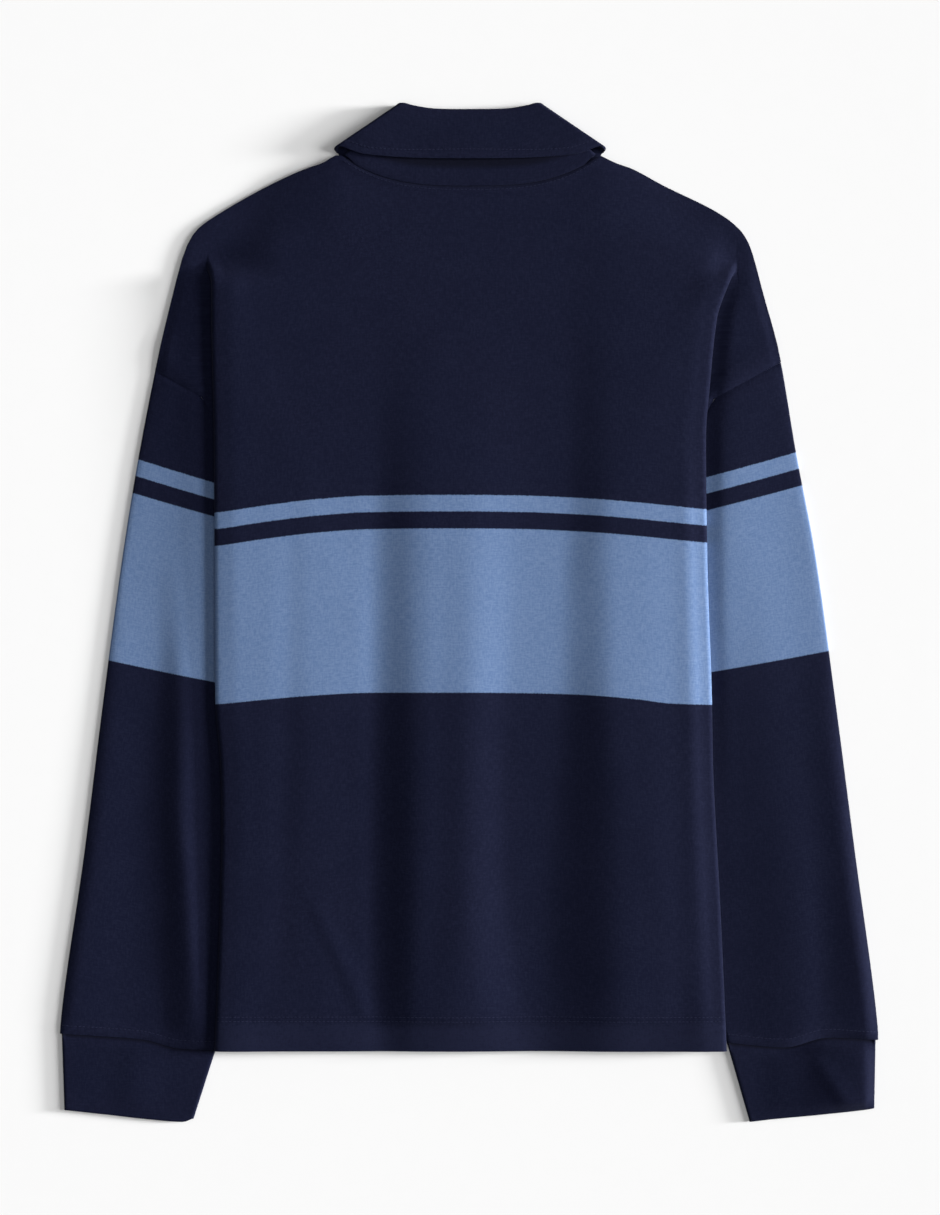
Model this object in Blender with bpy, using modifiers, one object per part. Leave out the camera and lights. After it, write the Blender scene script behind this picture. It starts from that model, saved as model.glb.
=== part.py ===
"""Long-sleeved polo shirt, laid flat with its back up.

The back and front lie on each other. Each side of the body is folded under in a Z:
the visible body edge rolls down into a hidden strip, the strip rolls down again at a
slanted hidden fold, and the dropped shoulder and the sleeve come out below.
Sizes are millimetres up to the last step, x across, y towards the collar, z up.
"""

import math

import bmesh
import bpy
import numpy as np

MM = 0.001

# Cloth
JERSEY = 1.1  # wall of the body and sleeves
RIB = 1.5  # wall of the cuffs, two layers of cloth
COLLAR = 1.6  # wall of the collar, two layers and an interlining
STRIP = 1.2  # wall of a placket strip
SEAM_GAP = 0.35  # between pieces at a seam
PITCH = 1.9  # from the middle of one layer to the next
HALF_PITCH = PITCH / 2
REST = HALF_PITCH + JERSEY / 2  # middle of two layers that rest on the surface
FOLD_RADIUS = 2.2  # rolled edges of the body, along the middle of the two layers

# Outline of the body and sleeves, both edges at each height
OUTLINE = {
    "y": [352, 346, 342, 330, 307, 295, 284, 272, 249, 203, 122, 45, -71, -187, -302, -322],
    "left": [104, 114, 126, 153, 194, 210.5, 217.5, 222, 228, 239, 255, 267.5, 283, 297.5, 314, 316],
    "right": [100, 112.5, 124, 147, 193, 208, 215, 219, 225, 237.5, 251.5, 266, 282, 297, 312.5, 314.5],
}

# Visible folded edge of the body, from its top to the hem
BODY_EDGE = {
    "y": [300, 275, 252, 226, 180, 133, 45, -64, -118, -161, -215, -302, -337],
    "left": [200, 205, 199, 199, 198, 197, 196.5, 196, 192, 191, 192, 195, 196.5],
    "right": [212, 208, 199, 190, 185, 181.5, 182.5, 186, 187, 189, 192, 196, 197.5],
}
APEX_Y = 270.0  # where both folds of a side start
FOLD_ANGLE = math.radians(20)  # between the body edge and the hidden fold
FOLD_OPENING = (24.0, 46.0)  # the fold starts this far above its apex and closes over this height
FLAT_TURN = 0.98 * math.pi  # from this turn on the strip lies flat
LEAST_STRIP = 2.5
OPEN_EDGE = 8.0  # from the body edge to where an unfolded side starts to bend
COVER_REACH = (62.0, 5.0)  # the main layers rise from this far inside the covered layers
ARMPIT_Y = -5.0
HEM_Y = -337.0
HEM_STRIP = 85.0  # width of the hidden strip at the hem
SHOULDER_ROWS = 11  # rows of the outline that belong to the shoulder
ARMPIT_OUT = 8.0  # from the hidden fold to the armpit end of the armhole seam

# Armhole seam: height of its shoulder end, and its bend, from where it runs to the armpit
ARMHOLE = {
    "left": {"shoulder_y": 187, "bend": (207, 166.5)},
    "right": {"shoulder_y": 193, "bend": (188, 165)},
}
CUFF_SEAM = {
    "left": ((314.5, -324), (252, -328.5), (223, -335.5), (196, -336.5)),
    "right": ((312.5, -329), (275, -327), (241, -334.5), (198, -331)),
}
CUFF_END = {
    "left": ((312.5, -382.5), (286, -385), (250, -390), (213, -388.5)),
    "right": ((311.5, -381.5), (267, -386.5), (232, -390), (215.5, -392)),
}

# Neck
NECK_Y = 351.5  # shoulder end of the neckline
NECK_HALF = 98.0
NECK_CURVE = 3  # power of the neckline and the collar's curves
BACK_NECK_DROP = 22.5
FRONT_NECK_DROP = 92.5
PEAK_HALF = 53.0  # side fold of the collar at its top roll
LEAF_SIDE_HALF = 101.3
LEAF_SIDE_Y = 350.5
ROLL_Y = 388.5
BACK_ROLL_DROP = 3.3
FRONT_ROLL_DROP = 97.0
LEAF_BACK_Y = (356.0, 349.5)  # leaf's back edge at its side and in the middle
LEAF_POINT = (50.0, 226.0)
LEAF_FRONT_CURVE = 1.2  # power of the leaf's front edge
STAND_TOP = 0.84  # share of the neck-to-roll height where the leaf is sewn on
COLLAR_RISE = 4.2  # the collar's hidden front lifts the layers above it
COLLAR_HALF_GAP = 1.3  # from the middle of the flattened neck to the stand
LEAF_GAP = 3.0  # from the middle of the stand to the middle of the leaf
LEAF_SEAM = 0.03  # share of the height between the stand and the leaf
LEAF_LOW = 0.93  # height of the leaf's row between its seam and its roll
STAND_SEAM = (1.6, 0.5)  # from the neckline to the stand, at the front and at the back
FRONT_OPENING = 0.006  # share of the half width between the collar's two ends
COLLAR_MIDDLE = REST + COLLAR_RISE
STAND_INSET = 0.7  # from the neckline's side to the stand
STAND_HALF = NECK_HALF - COLLAR_HALF_GAP - COLLAR / 2 - STAND_INSET
COLLAR_COVER = (92.0, 235.0)  # half width and foot of the part of the body over the collar
PLACKET_COVER = (18.0, 100.0)  # half width and foot of the part over the placket
COLLAR_FADE = (6.0, 48.0)  # distances from there over which the body comes down

# Placket, on the hidden front
OVER_HALF = 16.0  # half width of the strip that shows
UNDER_HALF = 13.6  # half width of the strip in the slot
BUTTON_RADIUS = 5.7
BUTTON_THICK = 1.9
BUTTON_TOP_Y = 242.0
BUTTON_SPACING = 52.0
BUTTONS = 3
BUTTON_SIDES = 24
BUTTON_LIFT = 0.15  # from the surface
BUTTON_EDGE = 0.5  # rounding
STRIP_TOP = 0.6  # from the neckline to the strips
STRIP_COLUMNS = (-1, -0.5, 0, 0.5, 1)
UNDER_FOOT = 2.0  # from the foot of the slot up to the lower end of the strip in it
OVER_FOOT = 6.0  # from the foot of the slot down to the end of the strip that shows

# Soft folds of the body and sleeves: a fold's middle line from its upper to its lower end, its
# half width and how high it stands or, below nothing, how deep it sinks
FOLD_RISE = (-0.12, 0.25)  # shares of its length over which a fold begins
FOLD_FALL = (0.8, 1.0, 0.25)  # shares over which it weakens, and by how much
BACK_FOLDS = [
    {"top": (-24, 235), "bottom": (-28, -337), "width": 48, "height": 4.6},
    {"top": (42, 150), "bottom": (50, -337), "width": 44, "height": -2.6},
    {"top": (109, 190), "bottom": (117, -337), "width": 60, "height": 3.6},
]
SLEEVE_FOLDS = [
    {"top": (-226, 60), "bottom": (-221, -326), "width": 22, "height": 4.4},
    {"top": (-262, 30), "bottom": (-300, -322), "width": 26, "height": 1.2},
    {"top": (284, -20), "bottom": (308, -322), "width": 24, "height": 2.4},
    {"top": (229, 60), "bottom": (246, -310), "width": 30, "height": 1.5},
]
# The back spans the dip between its thick sides at these heights above the middle's rest
SPAN = {
    "y": [340, 300, 250, 200, 60, -60, -200, -300, -337],
    "height": [3.4, 6.2, 8.8, 9.2, 9.3, 9.1, 8.8, 8.0, 7.0],
}
SPAN_SOFTNESS = 1.4  # how gently it comes off the thick sides
MAIN_FADE = (3.0, 17.0, 52.0)  # the span ends this near a body edge or the top line
SLEEVE_FADE = (2.0, 16.0, 14.0, 60.0)  # sleeve folds end near the body, the edge and the seam

# Cross rows of a panel, and the columns from its middle out to the body edge
ROWS_TOP = [300, 292, 284, 276, 268, 260, 250, 238, 218, 192, 163, 130, 92, 45, ARMPIT_Y]
ROWS_LOW = [-35, -85, -140, -195, -250, -298, HEM_Y]
STRAIGHT_ROW = 8  # from this row on the rows no longer follow the neck and shoulder
BEND_ROW = 6  # the row that ends at the bend of the armhole seam
SLOT_ROW = 12  # the row at the foot of the placket slot
NECK_COLUMNS = [0, 15, 34, 54, 72, 86, NECK_HALF]
SIDE_SHARES = [0.22, 0.44, 0.64, 0.82, 0.94, 1]
OUTER_ROLL_STEPS = 4
INNER_ROLL_STEPS = 3
STRIP_STEPS = 4
FLAP_STEPS = 3
ROLL_STEPS = 3
SLEEVE_ROWS = 11
CUFF_ROWS = 3
TUBE_SHARES = [0, 0.125, 0.25, 0.4, 0.55, 0.7, 0.85, 1]  # columns across a sleeve or cuff
BEND_SHARE = 0.25  # the column at the bend of the armhole seam
SLEEVE_SHIFT = ((0.2, -0.35), (0.35, -0.35), (0.35, -0.4))  # seam gap at the seam's points
CUFF_HOLLOW = 0.7  # between a cuff's two sides
COLLAR_ROLL_STEPS = 6
STAND_ROWS = 3
LEAF_ROWS = 4
PLACKET_ROWS = 6

SIDES = {"left": -1, "right": 1}


def smooth(value, low=0.0, high=1.0):
    """0 below low, 1 above high, and an even curve between them."""
    share = min(max((value - low) / (high - low), 0.0), 1.0)
    return share * share * (3 - 2 * share)


def readTable(table, column, y):
    """A column of an outline table at height y, straight between its rows."""
    return float(np.interp(-y, [-v for v in table["y"]], table[column]))


def mix(a, b, share):
    return a + (b - a) * share


def edgeX(side, y):
    return readTable(BODY_EDGE, side, y)


def stripWidth(y):
    """Distance from the visible body edge to the hidden fold or side seam."""
    armpitWidth = (APEX_Y - ARMPIT_Y) * math.tan(FOLD_ANGLE)
    if y > ARMPIT_Y:
        return max((APEX_Y - y) * math.tan(FOLD_ANGLE), 0.0)
    return mix(armpitWidth, HEM_STRIP, (ARMPIT_Y - y) / (ARMPIT_Y - HEM_Y))


def hiddenX(side, y):
    """The hidden fold above the armpit and the side seam below it."""
    return edgeX(side, y) - stripWidth(y)


def underarmX(side, y):
    """Inner edge of the sleeve below the armpit."""
    top = hiddenX(side, ARMPIT_Y)
    bottom = CUFF_SEAM[side][-1]
    return mix(top, bottom[0], (ARMPIT_Y - y) / (ARMPIT_Y - bottom[1]))


def foldAngle(y):
    """The Z opens from flat above the apex to a full half turn below it."""
    above, height = FOLD_OPENING
    return max(math.pi * smooth(APEX_Y + above - y, 0, height), 0.001)


def rollRadius(angle):
    """An arc keeps its length, so a slight bend is a wide one."""
    return FOLD_RADIUS * math.pi / angle


def stripLength(y):
    return max(stripWidth(y) - 2 * (FOLD_RADIUS + REST), LEAST_STRIP)


def foldDrop(y):
    """How far the main layers lie above the flap at a body edge."""
    angle = foldAngle(y)
    turned = 2 * rollRadius(angle) * (1 - math.cos(angle))
    if angle > FLAT_TURN:
        return 4 * FOLD_RADIUS
    return turned + stripLength(y) * math.sin(angle)


def coverShare(a, inner):
    """1 over the layers that reach in to inner, falling to 0 towards the middle."""
    return smooth(a, inner - COVER_REACH[0], inner - COVER_REACH[1])


def sleeveRise(side, a, y):
    """Height that the sleeve and the shoulder flap add below the strip."""
    inner = hiddenX(side, y) if y > ARMPIT_Y else underarmX(side, y)
    return foldDrop(y) / 2 * coverShare(a, min(inner, edgeX(side, y) - OPEN_EDGE))


def stripRise(side, a, y):
    """Height that the hidden strip adds below the main layers."""
    inner = min(hiddenX(side, y), edgeX(side, y) - OPEN_EDGE)
    return foldDrop(y) / 2 * coverShare(a, inner)


def collarShare(x, y):
    """1 over the hidden front of the collar and the placket, 0 away from them."""
    gaps = [
        math.hypot(max(abs(x) - half, 0), max(foot - y, 0))
        for half, foot in (COLLAR_COVER, PLACKET_COVER)
    ]
    return 1 - smooth(min(gaps), *COLLAR_FADE)


def mainHeight(side, a, y):
    """Middle height between the back and the front, with all that lies below."""
    x = SIDES[side] * a
    return (
        REST
        + COLLAR_RISE * collarShare(x, y)
        + sleeveRise(side, a, y)
        + stripRise(side, a, y)
    )


def foldHeight(folds, x, y):
    """What the soft folds add to a layer's height."""
    lift = 0.0
    start, end, share = FOLD_FALL
    for fold in folds:
        (topX, topY), (bottomX, bottomY) = fold["top"], fold["bottom"]
        along = (topY - y) / (topY - bottomY)
        middle = mix(topX, bottomX, min(max(along, 0), 1))
        fade = smooth(along, *FOLD_RISE) * (1 - share * smooth(along, start, end))
        across = math.exp(-(((x - middle) / fold["width"]) ** 2) * 2)
        lift += fold["height"] * fade * across
    return lift


def spanHeight(x, y):
    """Lift of the back where it spans from one thick side to the other."""
    side = "left" if x < 0 else "right"
    free = readTable(SPAN, "height", y) - (mainHeight(side, abs(x), y) - REST)
    return (free + math.hypot(free, SPAN_SOFTNESS)) / 2


def neckline(a, drop):
    """Height of the neckline at a distance from the middle."""
    return NECK_Y - drop * (1 - min(a / NECK_HALF, 1) ** NECK_CURVE)


def topLine(side, a, neckDrop):
    """Top edge of a panel: its neckline, then the shoulder down to the armhole."""
    if a <= NECK_HALF:
        return neckline(a, neckDrop)
    rows = slice(SHOULDER_ROWS)
    return float(np.interp(a, OUTLINE[side][rows], OUTLINE["y"][rows]))


def mixPoint(p, q, share):
    return tuple(mix(a, b, share) for a, b in zip(p, q))


def alongLine(points, share):
    """The point at a share of a line's length."""
    steps = [math.dist(p, q) for p, q in zip(points, points[1:])]
    lengths = np.concatenate([[0], np.cumsum(steps)])
    at = share * lengths[-1]
    return tuple(float(np.interp(at, lengths, [p[k] for p in points])) for k in (0, 1))


def armholeLine(side):
    """Shoulder end, bend and armpit end of the seam."""
    shoulderY = ARMHOLE[side]["shoulder_y"]
    shoulderEnd = (readTable(OUTLINE, side, shoulderY), shoulderY)
    armpit = (hiddenX(side, ARMPIT_Y) + ARMPIT_OUT, ARMPIT_Y)
    return shoulderEnd, ARMHOLE[side]["bend"], armpit


def sideSection(side, y):
    """Middle path of a body side at one height, as distances out and heights."""
    angle = foldAngle(y)
    radius = rollRadius(angle)
    if angle < math.pi / 2:
        start = edgeX(side, y) - OPEN_EDGE
    else:
        start = edgeX(side, y) - radius - REST
    top = mainHeight(side, start, y)
    path = [(start, top)]
    for i in range(1, OUTER_ROLL_STEPS + 1):
        turn = angle * i / OUTER_ROLL_STEPS
        path.append((start + radius * math.sin(turn), top - radius * (1 - math.cos(turn))))
    edge = path[-1]
    for i in range(1, STRIP_STEPS + 1):
        gone = stripLength(y) * i / STRIP_STEPS
        x = edge[0] + gone * math.cos(angle)
        z = edge[1] - gone * math.sin(angle)
        if angle > FLAT_TURN:
            z = REST + sleeveRise(side, x, y)
        path.append((x, z))
    if y < ARMPIT_Y:
        return path
    centreX = path[-1][0] + radius * math.sin(angle)
    centreZ = path[-1][1] + radius * math.cos(angle)
    for i in range(1, INNER_ROLL_STEPS + 1):
        turn = angle * (1 - i / INNER_ROLL_STEPS)
        path.append((centreX - radius * math.sin(turn), centreZ - radius * math.cos(turn)))
    return path


def rowHeight(side, a, row, y, neckDrop):
    """A row follows the top edge at first and becomes straight further down."""
    follow = max(1 - row / STRAIGHT_ROW, 0)
    return y + (topLine(side, a, neckDrop) - ROWS_TOP[0]) * follow


def flapPoints(side, row, inner, topInner):
    """Points from the hidden fold out to the shoulder edge or the armhole seam."""
    shoulderEnd, bend, armpit = armholeLine(side)
    if row <= BEND_ROW:
        outer = mixPoint(shoulderEnd, bend, row / BEND_ROW)
    else:
        outer = mixPoint(bend, armpit, (row - BEND_ROW) / (len(ROWS_TOP) - 1 - BEND_ROW))
    points = []
    for i in range(1, FLAP_STEPS + 1):
        share = i / FLAP_STEPS
        a, y = mixPoint(inner, outer, share)
        straight = mixPoint(topInner, shoulderEnd, share)
        follow = max(1 - row / BEND_ROW, 0)
        y += follow * (topLine(side, straight[0], 0) - straight[1])
        points.append((a, y, REST))
    return points


def bodyHalf(side, row, y, neckDrop):
    """One row of a panel's middle surface, from the middle of the body outwards."""
    section = sideSection(side, y)
    start = section[0][0]
    columns = NECK_COLUMNS + [mix(NECK_HALF, start, share) for share in SIDE_SHARES]
    points = []
    for a in columns:
        at = rowHeight(side, a, row, y, neckDrop)
        points.append((a, at, mainHeight(side, a, at)))
    points[-1] = (start, points[-1][1], section[0][1])
    for a, z in section[1:]:
        points.append((a, rowHeight(side, a, row, y, neckDrop), z))
    if y >= ARMPIT_Y:
        topSection = sideSection(side, ROWS_TOP[0])
        topA = topSection[-1][0]
        top = (topA, topLine(side, topA, 0))
        points += flapPoints(side, row, points[-1][:2], top)
    sign = SIDES[side]
    return [(sign * a, at, z) for a, at, z in points]


def bodyGrid(neckDrop):
    """Rows of points, with None where a lower row has no flap."""
    rows = []
    width = 0
    for row, y in enumerate(ROWS_TOP + ROWS_LOW):
        left = bodyHalf("left", row, y, neckDrop)
        right = bodyHalf("right", row, y, neckDrop)
        width = max(width, len(left))
        missing = [None] * (width - len(left))
        rows.append(missing + left[:0:-1] + right + missing)
    return rows


def gridNormals(grid):
    """A normal at each point of a grid, from the cells that meet there."""
    height, width = len(grid), len(grid[0])
    normals = [[np.zeros(3) for _ in range(width)] for _ in range(height)]
    for i in range(height - 1):
        for j in range(width - 1):
            cell = [grid[i][j], grid[i][j + 1], grid[i + 1][j + 1], grid[i + 1][j]]
            if any(p is None for p in cell):
                continue
            a, b, c, d = (np.array(p) for p in cell)
            normal = np.cross(d - b, c - a)
            normal = normal / max(np.linalg.norm(normal), 1e-9)
            for m, n in ((i, j), (i, j + 1), (i + 1, j + 1), (i + 1, j)):
                normals[m][n] += normal
    return [[n / max(np.linalg.norm(n), 1e-9) for n in row] for row in normals]


def halfGap(grid, i, j):
    """Half the distance from the back to the front: closed at the seams."""
    x, y, _ = grid[i][j]
    height, width = len(grid), len(grid[0])
    outer = j in (0, width - 1) or grid[i][j - 1] is None or grid[i][j + 1] is None
    if (i == 0 and abs(x) > NECK_HALF) or (i >= len(ROWS_TOP) and outer):
        return (JERSEY + SEAM_GAP) / 2
    return mix(HALF_PITCH, COLLAR_HALF_GAP, collarShare(x, y))


def isMain(j, width):
    """Whether a column lies on the visible part of the body."""
    columns = len(NECK_COLUMNS) + len(SIDE_SHARES) - 1
    return abs(j - width // 2) <= columns


def panelGrid(neckDrop, sign):
    """The back's middle surface for sign 1, the front's for sign -1."""
    middle = bodyGrid(neckDrop)
    normals = gridNormals(middle)
    grid = []
    for i, row in enumerate(middle):
        points = []
        for j, point in enumerate(row):
            if point is None:
                points.append(None)
                continue
            x, y, z = np.array(point) + sign * halfGap(middle, i, j) * normals[i][j]
            if sign > 0 and isMain(j, len(row)):
                lift = spanHeight(x, y) + foldHeight(BACK_FOLDS, x, y)
                z += max(lift, 0) * mainFade(x, y)
            points.append((x, y, z))
        grid.append(points)
    return grid


def mainFade(x, y):
    """The back comes down to the rolled edges, the shoulders and the neckline."""
    side = "left" if x < 0 else "right"
    near, far, top = MAIN_FADE
    atTop = smooth(topLine(side, abs(x), BACK_NECK_DROP) - y, 0, top)
    return smooth(edgeX(side, y) - abs(x), near, far) * atTop


def sleeveEdges(side, start, stage):
    """Outer and inner edge of a sleeve at a share of its length."""
    seam = CUFF_SEAM[side]
    outerY = mix(start[0][1], seam[0][1], stage)
    outer = (readTable(OUTLINE, side, outerY), outerY) if stage else start[0]
    return outer, mixPoint(start[-1], seam[-1], stage)


def seamPoint(points, bendShare, share):
    """A point across the armhole, with its bend at a fixed share."""
    if share <= bendShare:
        return mixPoint(points[0], points[1], share / bendShare)
    return mixPoint(points[1], points[2], (share - bendShare) / (1 - bendShare))


def tubePlan(edges, first, last, stage, share):
    """A point of a sleeve or cuff in plan, between its two ends and two edges."""
    outer, inner = edges
    (outer0, inner0), (outer1, inner1) = (first(0), first(1)), (last(0), last(1))
    point = np.array(mixPoint(outer, inner, share))
    point += (1 - stage) * (np.array(first(share)) - mixPoint(outer0, inner0, share))
    point += stage * (np.array(last(share)) - mixPoint(outer1, inner1, share))
    return point


def tubeRing(points, wall, gap, lift):
    """A flattened ring over a line of plan points: upper layer, roll, lower layer, roll."""
    radius = (wall + gap) / 2
    middle = radius + wall / 2
    points = [np.array(p) for p in points]
    inward = (points[1] - points[0]) / np.linalg.norm(points[1] - points[0])
    outward = (points[-1] - points[-2]) / np.linalg.norm(points[-1] - points[-2])
    line = [points[0] + inward * middle, *points[1:-1], points[-1] - outward * middle]
    ring = [(p[0], p[1], middle + radius + lift(p)) for p in line]
    for i in range(1, ROLL_STEPS):
        turn = math.pi * i / ROLL_STEPS
        p = line[-1] + outward * radius * math.sin(turn)
        ring.append((p[0], p[1], middle + radius * math.cos(turn)))
    ring += [(p[0], p[1], middle - radius) for p in line[::-1]]
    for i in range(1, ROLL_STEPS):
        turn = math.pi * i / ROLL_STEPS
        p = line[0] - inward * radius * math.sin(turn)
        ring.append((p[0], p[1], middle - radius * math.cos(turn)))
    return ring


def sleeveGrid(side):
    """Rings of a sleeve from the armhole to the cuff."""
    start = armholeLine(side)
    start = [(a + dx, y + dy) for (a, y), (dx, dy) in zip(start, SLEEVE_SHIFT)]
    seam = CUFF_SEAM[side]
    rings = []
    for i in range(SLEEVE_ROWS + 1):
        stage = i / SLEEVE_ROWS
        edges = sleeveEdges(side, start, stage)
        points = [
            tubePlan(
                edges,
                lambda share: seamPoint(start, BEND_SHARE, share),
                lambda share: alongLine(seam, share),
                stage,
                share,
            )
            for share in TUBE_SHARES
        ]
        lift = lambda p: sleeveLift(side, p[0], p[1])
        ring = tubeRing(points, JERSEY, PITCH - JERSEY, lift)
        rings.append([(SIDES[side] * a, y, z) for a, y, z in ring])
    return rings


def sleeveLift(side, a, y):
    """Folds of a sleeve, only where the body doesn't press on it."""
    near, far, edge, seam = SLEEVE_FADE
    clear = smooth(a - edgeX(side, y), near, far)
    clear *= smooth(readTable(OUTLINE, side, y) - a, 0, edge)
    clear *= smooth(ARMHOLE[side]["bend"][1] - y, 0, seam)
    return foldHeight(SLEEVE_FOLDS, SIDES[side] * a, y) * clear


def cuffGrid(side):
    seam = [(a, y - SEAM_GAP) for a, y in CUFF_SEAM[side]]
    end = CUFF_END[side]
    rings = []
    for i in range(CUFF_ROWS + 1):
        stage = i / CUFF_ROWS
        edges = (mixPoint(seam[0], end[0], stage), mixPoint(seam[-1], end[-1], stage))
        points = [
            tubePlan(
                edges,
                lambda share: alongLine(seam, share),
                lambda share: alongLine(end, share),
                stage,
                share,
            )
            for share in TUBE_SHARES
        ]
        ring = tubeRing(points, RIB, CUFF_HOLLOW, lambda p: 0.0)
        rings.append([(SIDES[side] * a, y, z) for a, y, z in ring])
    return rings


def collarStations():
    """Places round the collar from the front's middle over the back to the front's middle.

    Each has its share of the half width, its direction out and its share of the back.
    """
    shares = [a / NECK_HALF for a in NECK_COLUMNS[1:-1]]
    front = [(-g, (0, -1), 0.0) for g in [FRONT_OPENING] + shares]
    turns = [math.pi * i / COLLAR_ROLL_STEPS for i in range(COLLAR_ROLL_STEPS + 1)]
    left = [(-1.0, (-math.sin(t), -math.cos(t)), t / math.pi) for t in turns]
    back = [(g, (0, 1), 1.0) for g in [-g for g in shares[::-1]] + [0.0]]
    half = front + left + back
    return half + [(-g, (-n[0], n[1]), w) for g, n, w in half[-2::-1]]


def standDrop(station, height):
    """How far the stand dips in the middle, at its lower edge or its roll."""
    backShare = station[2]
    atNeck = mix(FRONT_NECK_DROP, BACK_NECK_DROP, backShare)
    return mix(atNeck, mix(FRONT_ROLL_DROP, BACK_ROLL_DROP, backShare), height)


def standPoint(station, height, out=0.0):
    """A point of the stand, or of a layer moved out from it."""
    g, (outX, outZ), backShare = station
    half = mix(STAND_HALF, PEAK_HALF, height)
    sideX, sideY = sideNormal()
    curve = mix((abs(g) * half / NECK_HALF) ** NECK_CURVE, abs(g) ** NECK_CURVE, height)
    dip = 1 - curve if abs(g) < 1 else 0
    gap = mix(*STAND_SEAM, backShare) * (1 - height)
    reach = COLLAR_HALF_GAP + out
    y = mix(NECK_Y, ROLL_Y, height) - standDrop(station, height) * dip + gap
    y += abs(outX) * sideY * reach
    return (g * half + outX * sideX * reach, y, COLLAR_MIDDLE + outZ * reach)


def sideNormal():
    """Direction in plan square to the collar's slanted side fold."""
    acrossX, acrossY = STAND_HALF - PEAK_HALF, ROLL_Y - NECK_Y
    length = math.hypot(acrossX, acrossY)
    return acrossY / length, acrossX / length


def rollDirection(station):
    """Direction in plan, square to the collar's top line, in which its roll bulges."""
    g, _, backShare = station
    total = np.zeros(2)
    for drop, share in ((FRONT_ROLL_DROP, 1 - backShare), (BACK_ROLL_DROP, backShare)):
        square = np.array((-NECK_CURVE * drop * g * abs(g), PEAK_HALF))
        total += share * square / np.linalg.norm(square)
    return total / np.linalg.norm(total)


def standGrid():
    return [
        [standPoint(s, STAND_TOP * i / STAND_ROWS) for s in collarStations()]
        for i in range(STAND_ROWS + 1)
    ]


def leafEdge(station):
    """The leaf's free edge, outside the stand."""
    g, (outX, outZ), backShare = station
    size = abs(g)
    backY = mix(LEAF_BACK_Y[1], LEAF_BACK_Y[0], size**NECK_CURVE)
    frontY = mix(LEAF_POINT[1], LEAF_SIDE_Y, size**LEAF_FRONT_CURVE)
    y = mix(frontY, backY, backShare)
    frontHalf = mix(LEAF_POINT[0], LEAF_SIDE_HALF, size)
    half = mix(frontHalf, LEAF_SIDE_HALF * size, backShare)
    reach = COLLAR_HALF_GAP + LEAF_GAP
    sideX, sideY = sideNormal()
    x = math.copysign(half, g) + outX * sideX * reach
    return (x, y + abs(outX) * sideY * reach, COLLAR_MIDDLE + outZ * reach)


def leafGrid():
    stations = collarStations()
    rows = []
    lowest = STAND_TOP + LEAF_SEAM
    for height in (lowest, LEAF_LOW, 1.0):
        rows.append([standPoint(s, height) for s in stations])
    for i in range(1, COLLAR_ROLL_STEPS):
        turn = math.pi * i / COLLAR_ROLL_STEPS
        rise = LEAF_GAP / 2 * math.sin(turn)
        out = LEAF_GAP / 2 * (1 - math.cos(turn))
        row = []
        for s in stations:
            x, y, z = standPoint(s, 1.0, out)
            dx, dy = rollDirection(s)
            row.append((x + rise * dx, y + rise * dy, z))
        rows.append(row)
    for i in range(LEAF_ROWS + 1):
        share = i / LEAF_ROWS
        row = []
        for s in stations:
            row.append(mixPoint(standPoint(s, 1.0, LEAF_GAP), leafEdge(s), share))
        rows.append(row)
    return rows


def stripGrid(half, foot, level):
    """A placket strip from the neckline to its foot, a distance below the front's middle."""
    rows = []
    for i in range(PLACKET_ROWS + 1):
        row = []
        for share in STRIP_COLUMNS:
            x = half * share
            top = neckline(abs(x), FRONT_NECK_DROP) - STRIP_TOP
            y = mix(top, foot, i / PLACKET_ROWS)
            row.append((x, y, mainHeight("left", 0, y) - COLLAR_HALF_GAP - level))
        rows.append(row)
    return rows


def makeMaterial(name, colour, roughness, sheen=0.0):
    material = bpy.data.materials.new(name)
    material.use_nodes = True
    shader = material.node_tree.nodes["Principled BSDF"]
    shader.inputs["Base Color"].default_value = (*colour, 1)
    shader.inputs["Roughness"].default_value = roughness
    shader.inputs["Sheen Weight"].default_value = sheen
    material.diffuse_color = (*colour, 1)
    return material


def makeShell(name, grid, wall, material, collection, ring=False, skipped=()):
    """A panel: an open surface on the grid, thickened evenly to both sides."""
    mesh = bmesh.new()
    points = [[p and mesh.verts.new([MM * v for v in p]) for p in row] for row in grid]
    width = len(grid[0])
    for i in range(len(grid) - 1):
        for j in range(width if ring else width - 1):
            k = (j + 1) % width
            cell = [points[i][j], points[i + 1][j], points[i + 1][k], points[i][k]]
            if (i, j) in skipped or any(p is None for p in cell):
                continue
            mesh.faces.new(cell)
    loose = [v for v in mesh.verts if not v.link_faces]
    bmesh.ops.delete(mesh, geom=loose, context="VERTS")
    bmesh.ops.recalc_face_normals(mesh, faces=mesh.faces)
    data = bpy.data.meshes.new(name)
    mesh.to_mesh(data)
    mesh.free()
    data.shade_smooth()
    data.materials.append(material)
    shell = bpy.data.objects.new(name, data)
    collection.objects.link(shell)
    solidify = shell.modifiers.new("wall", "SOLIDIFY")
    solidify.thickness = wall * MM
    solidify.offset = 0
    return shell


def makeButton(name, y, material, collection):
    mesh = bmesh.new()
    bmesh.ops.create_cone(
        mesh,
        cap_ends=True,
        segments=BUTTON_SIDES,
        radius1=BUTTON_RADIUS * MM,
        radius2=BUTTON_RADIUS * MM,
        depth=BUTTON_THICK * MM,
    )
    data = bpy.data.meshes.new(name)
    mesh.to_mesh(data)
    mesh.free()
    data.materials.append(material)
    button = bpy.data.objects.new(name, data)
    button.location = (0, y * MM, (BUTTON_THICK / 2 + BUTTON_LIFT) * MM)
    collection.objects.link(button)
    bevel = button.modifiers.new("edge", "BEVEL")
    bevel.width = BUTTON_EDGE * MM
    bevel.segments = 2
    return button


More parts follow.
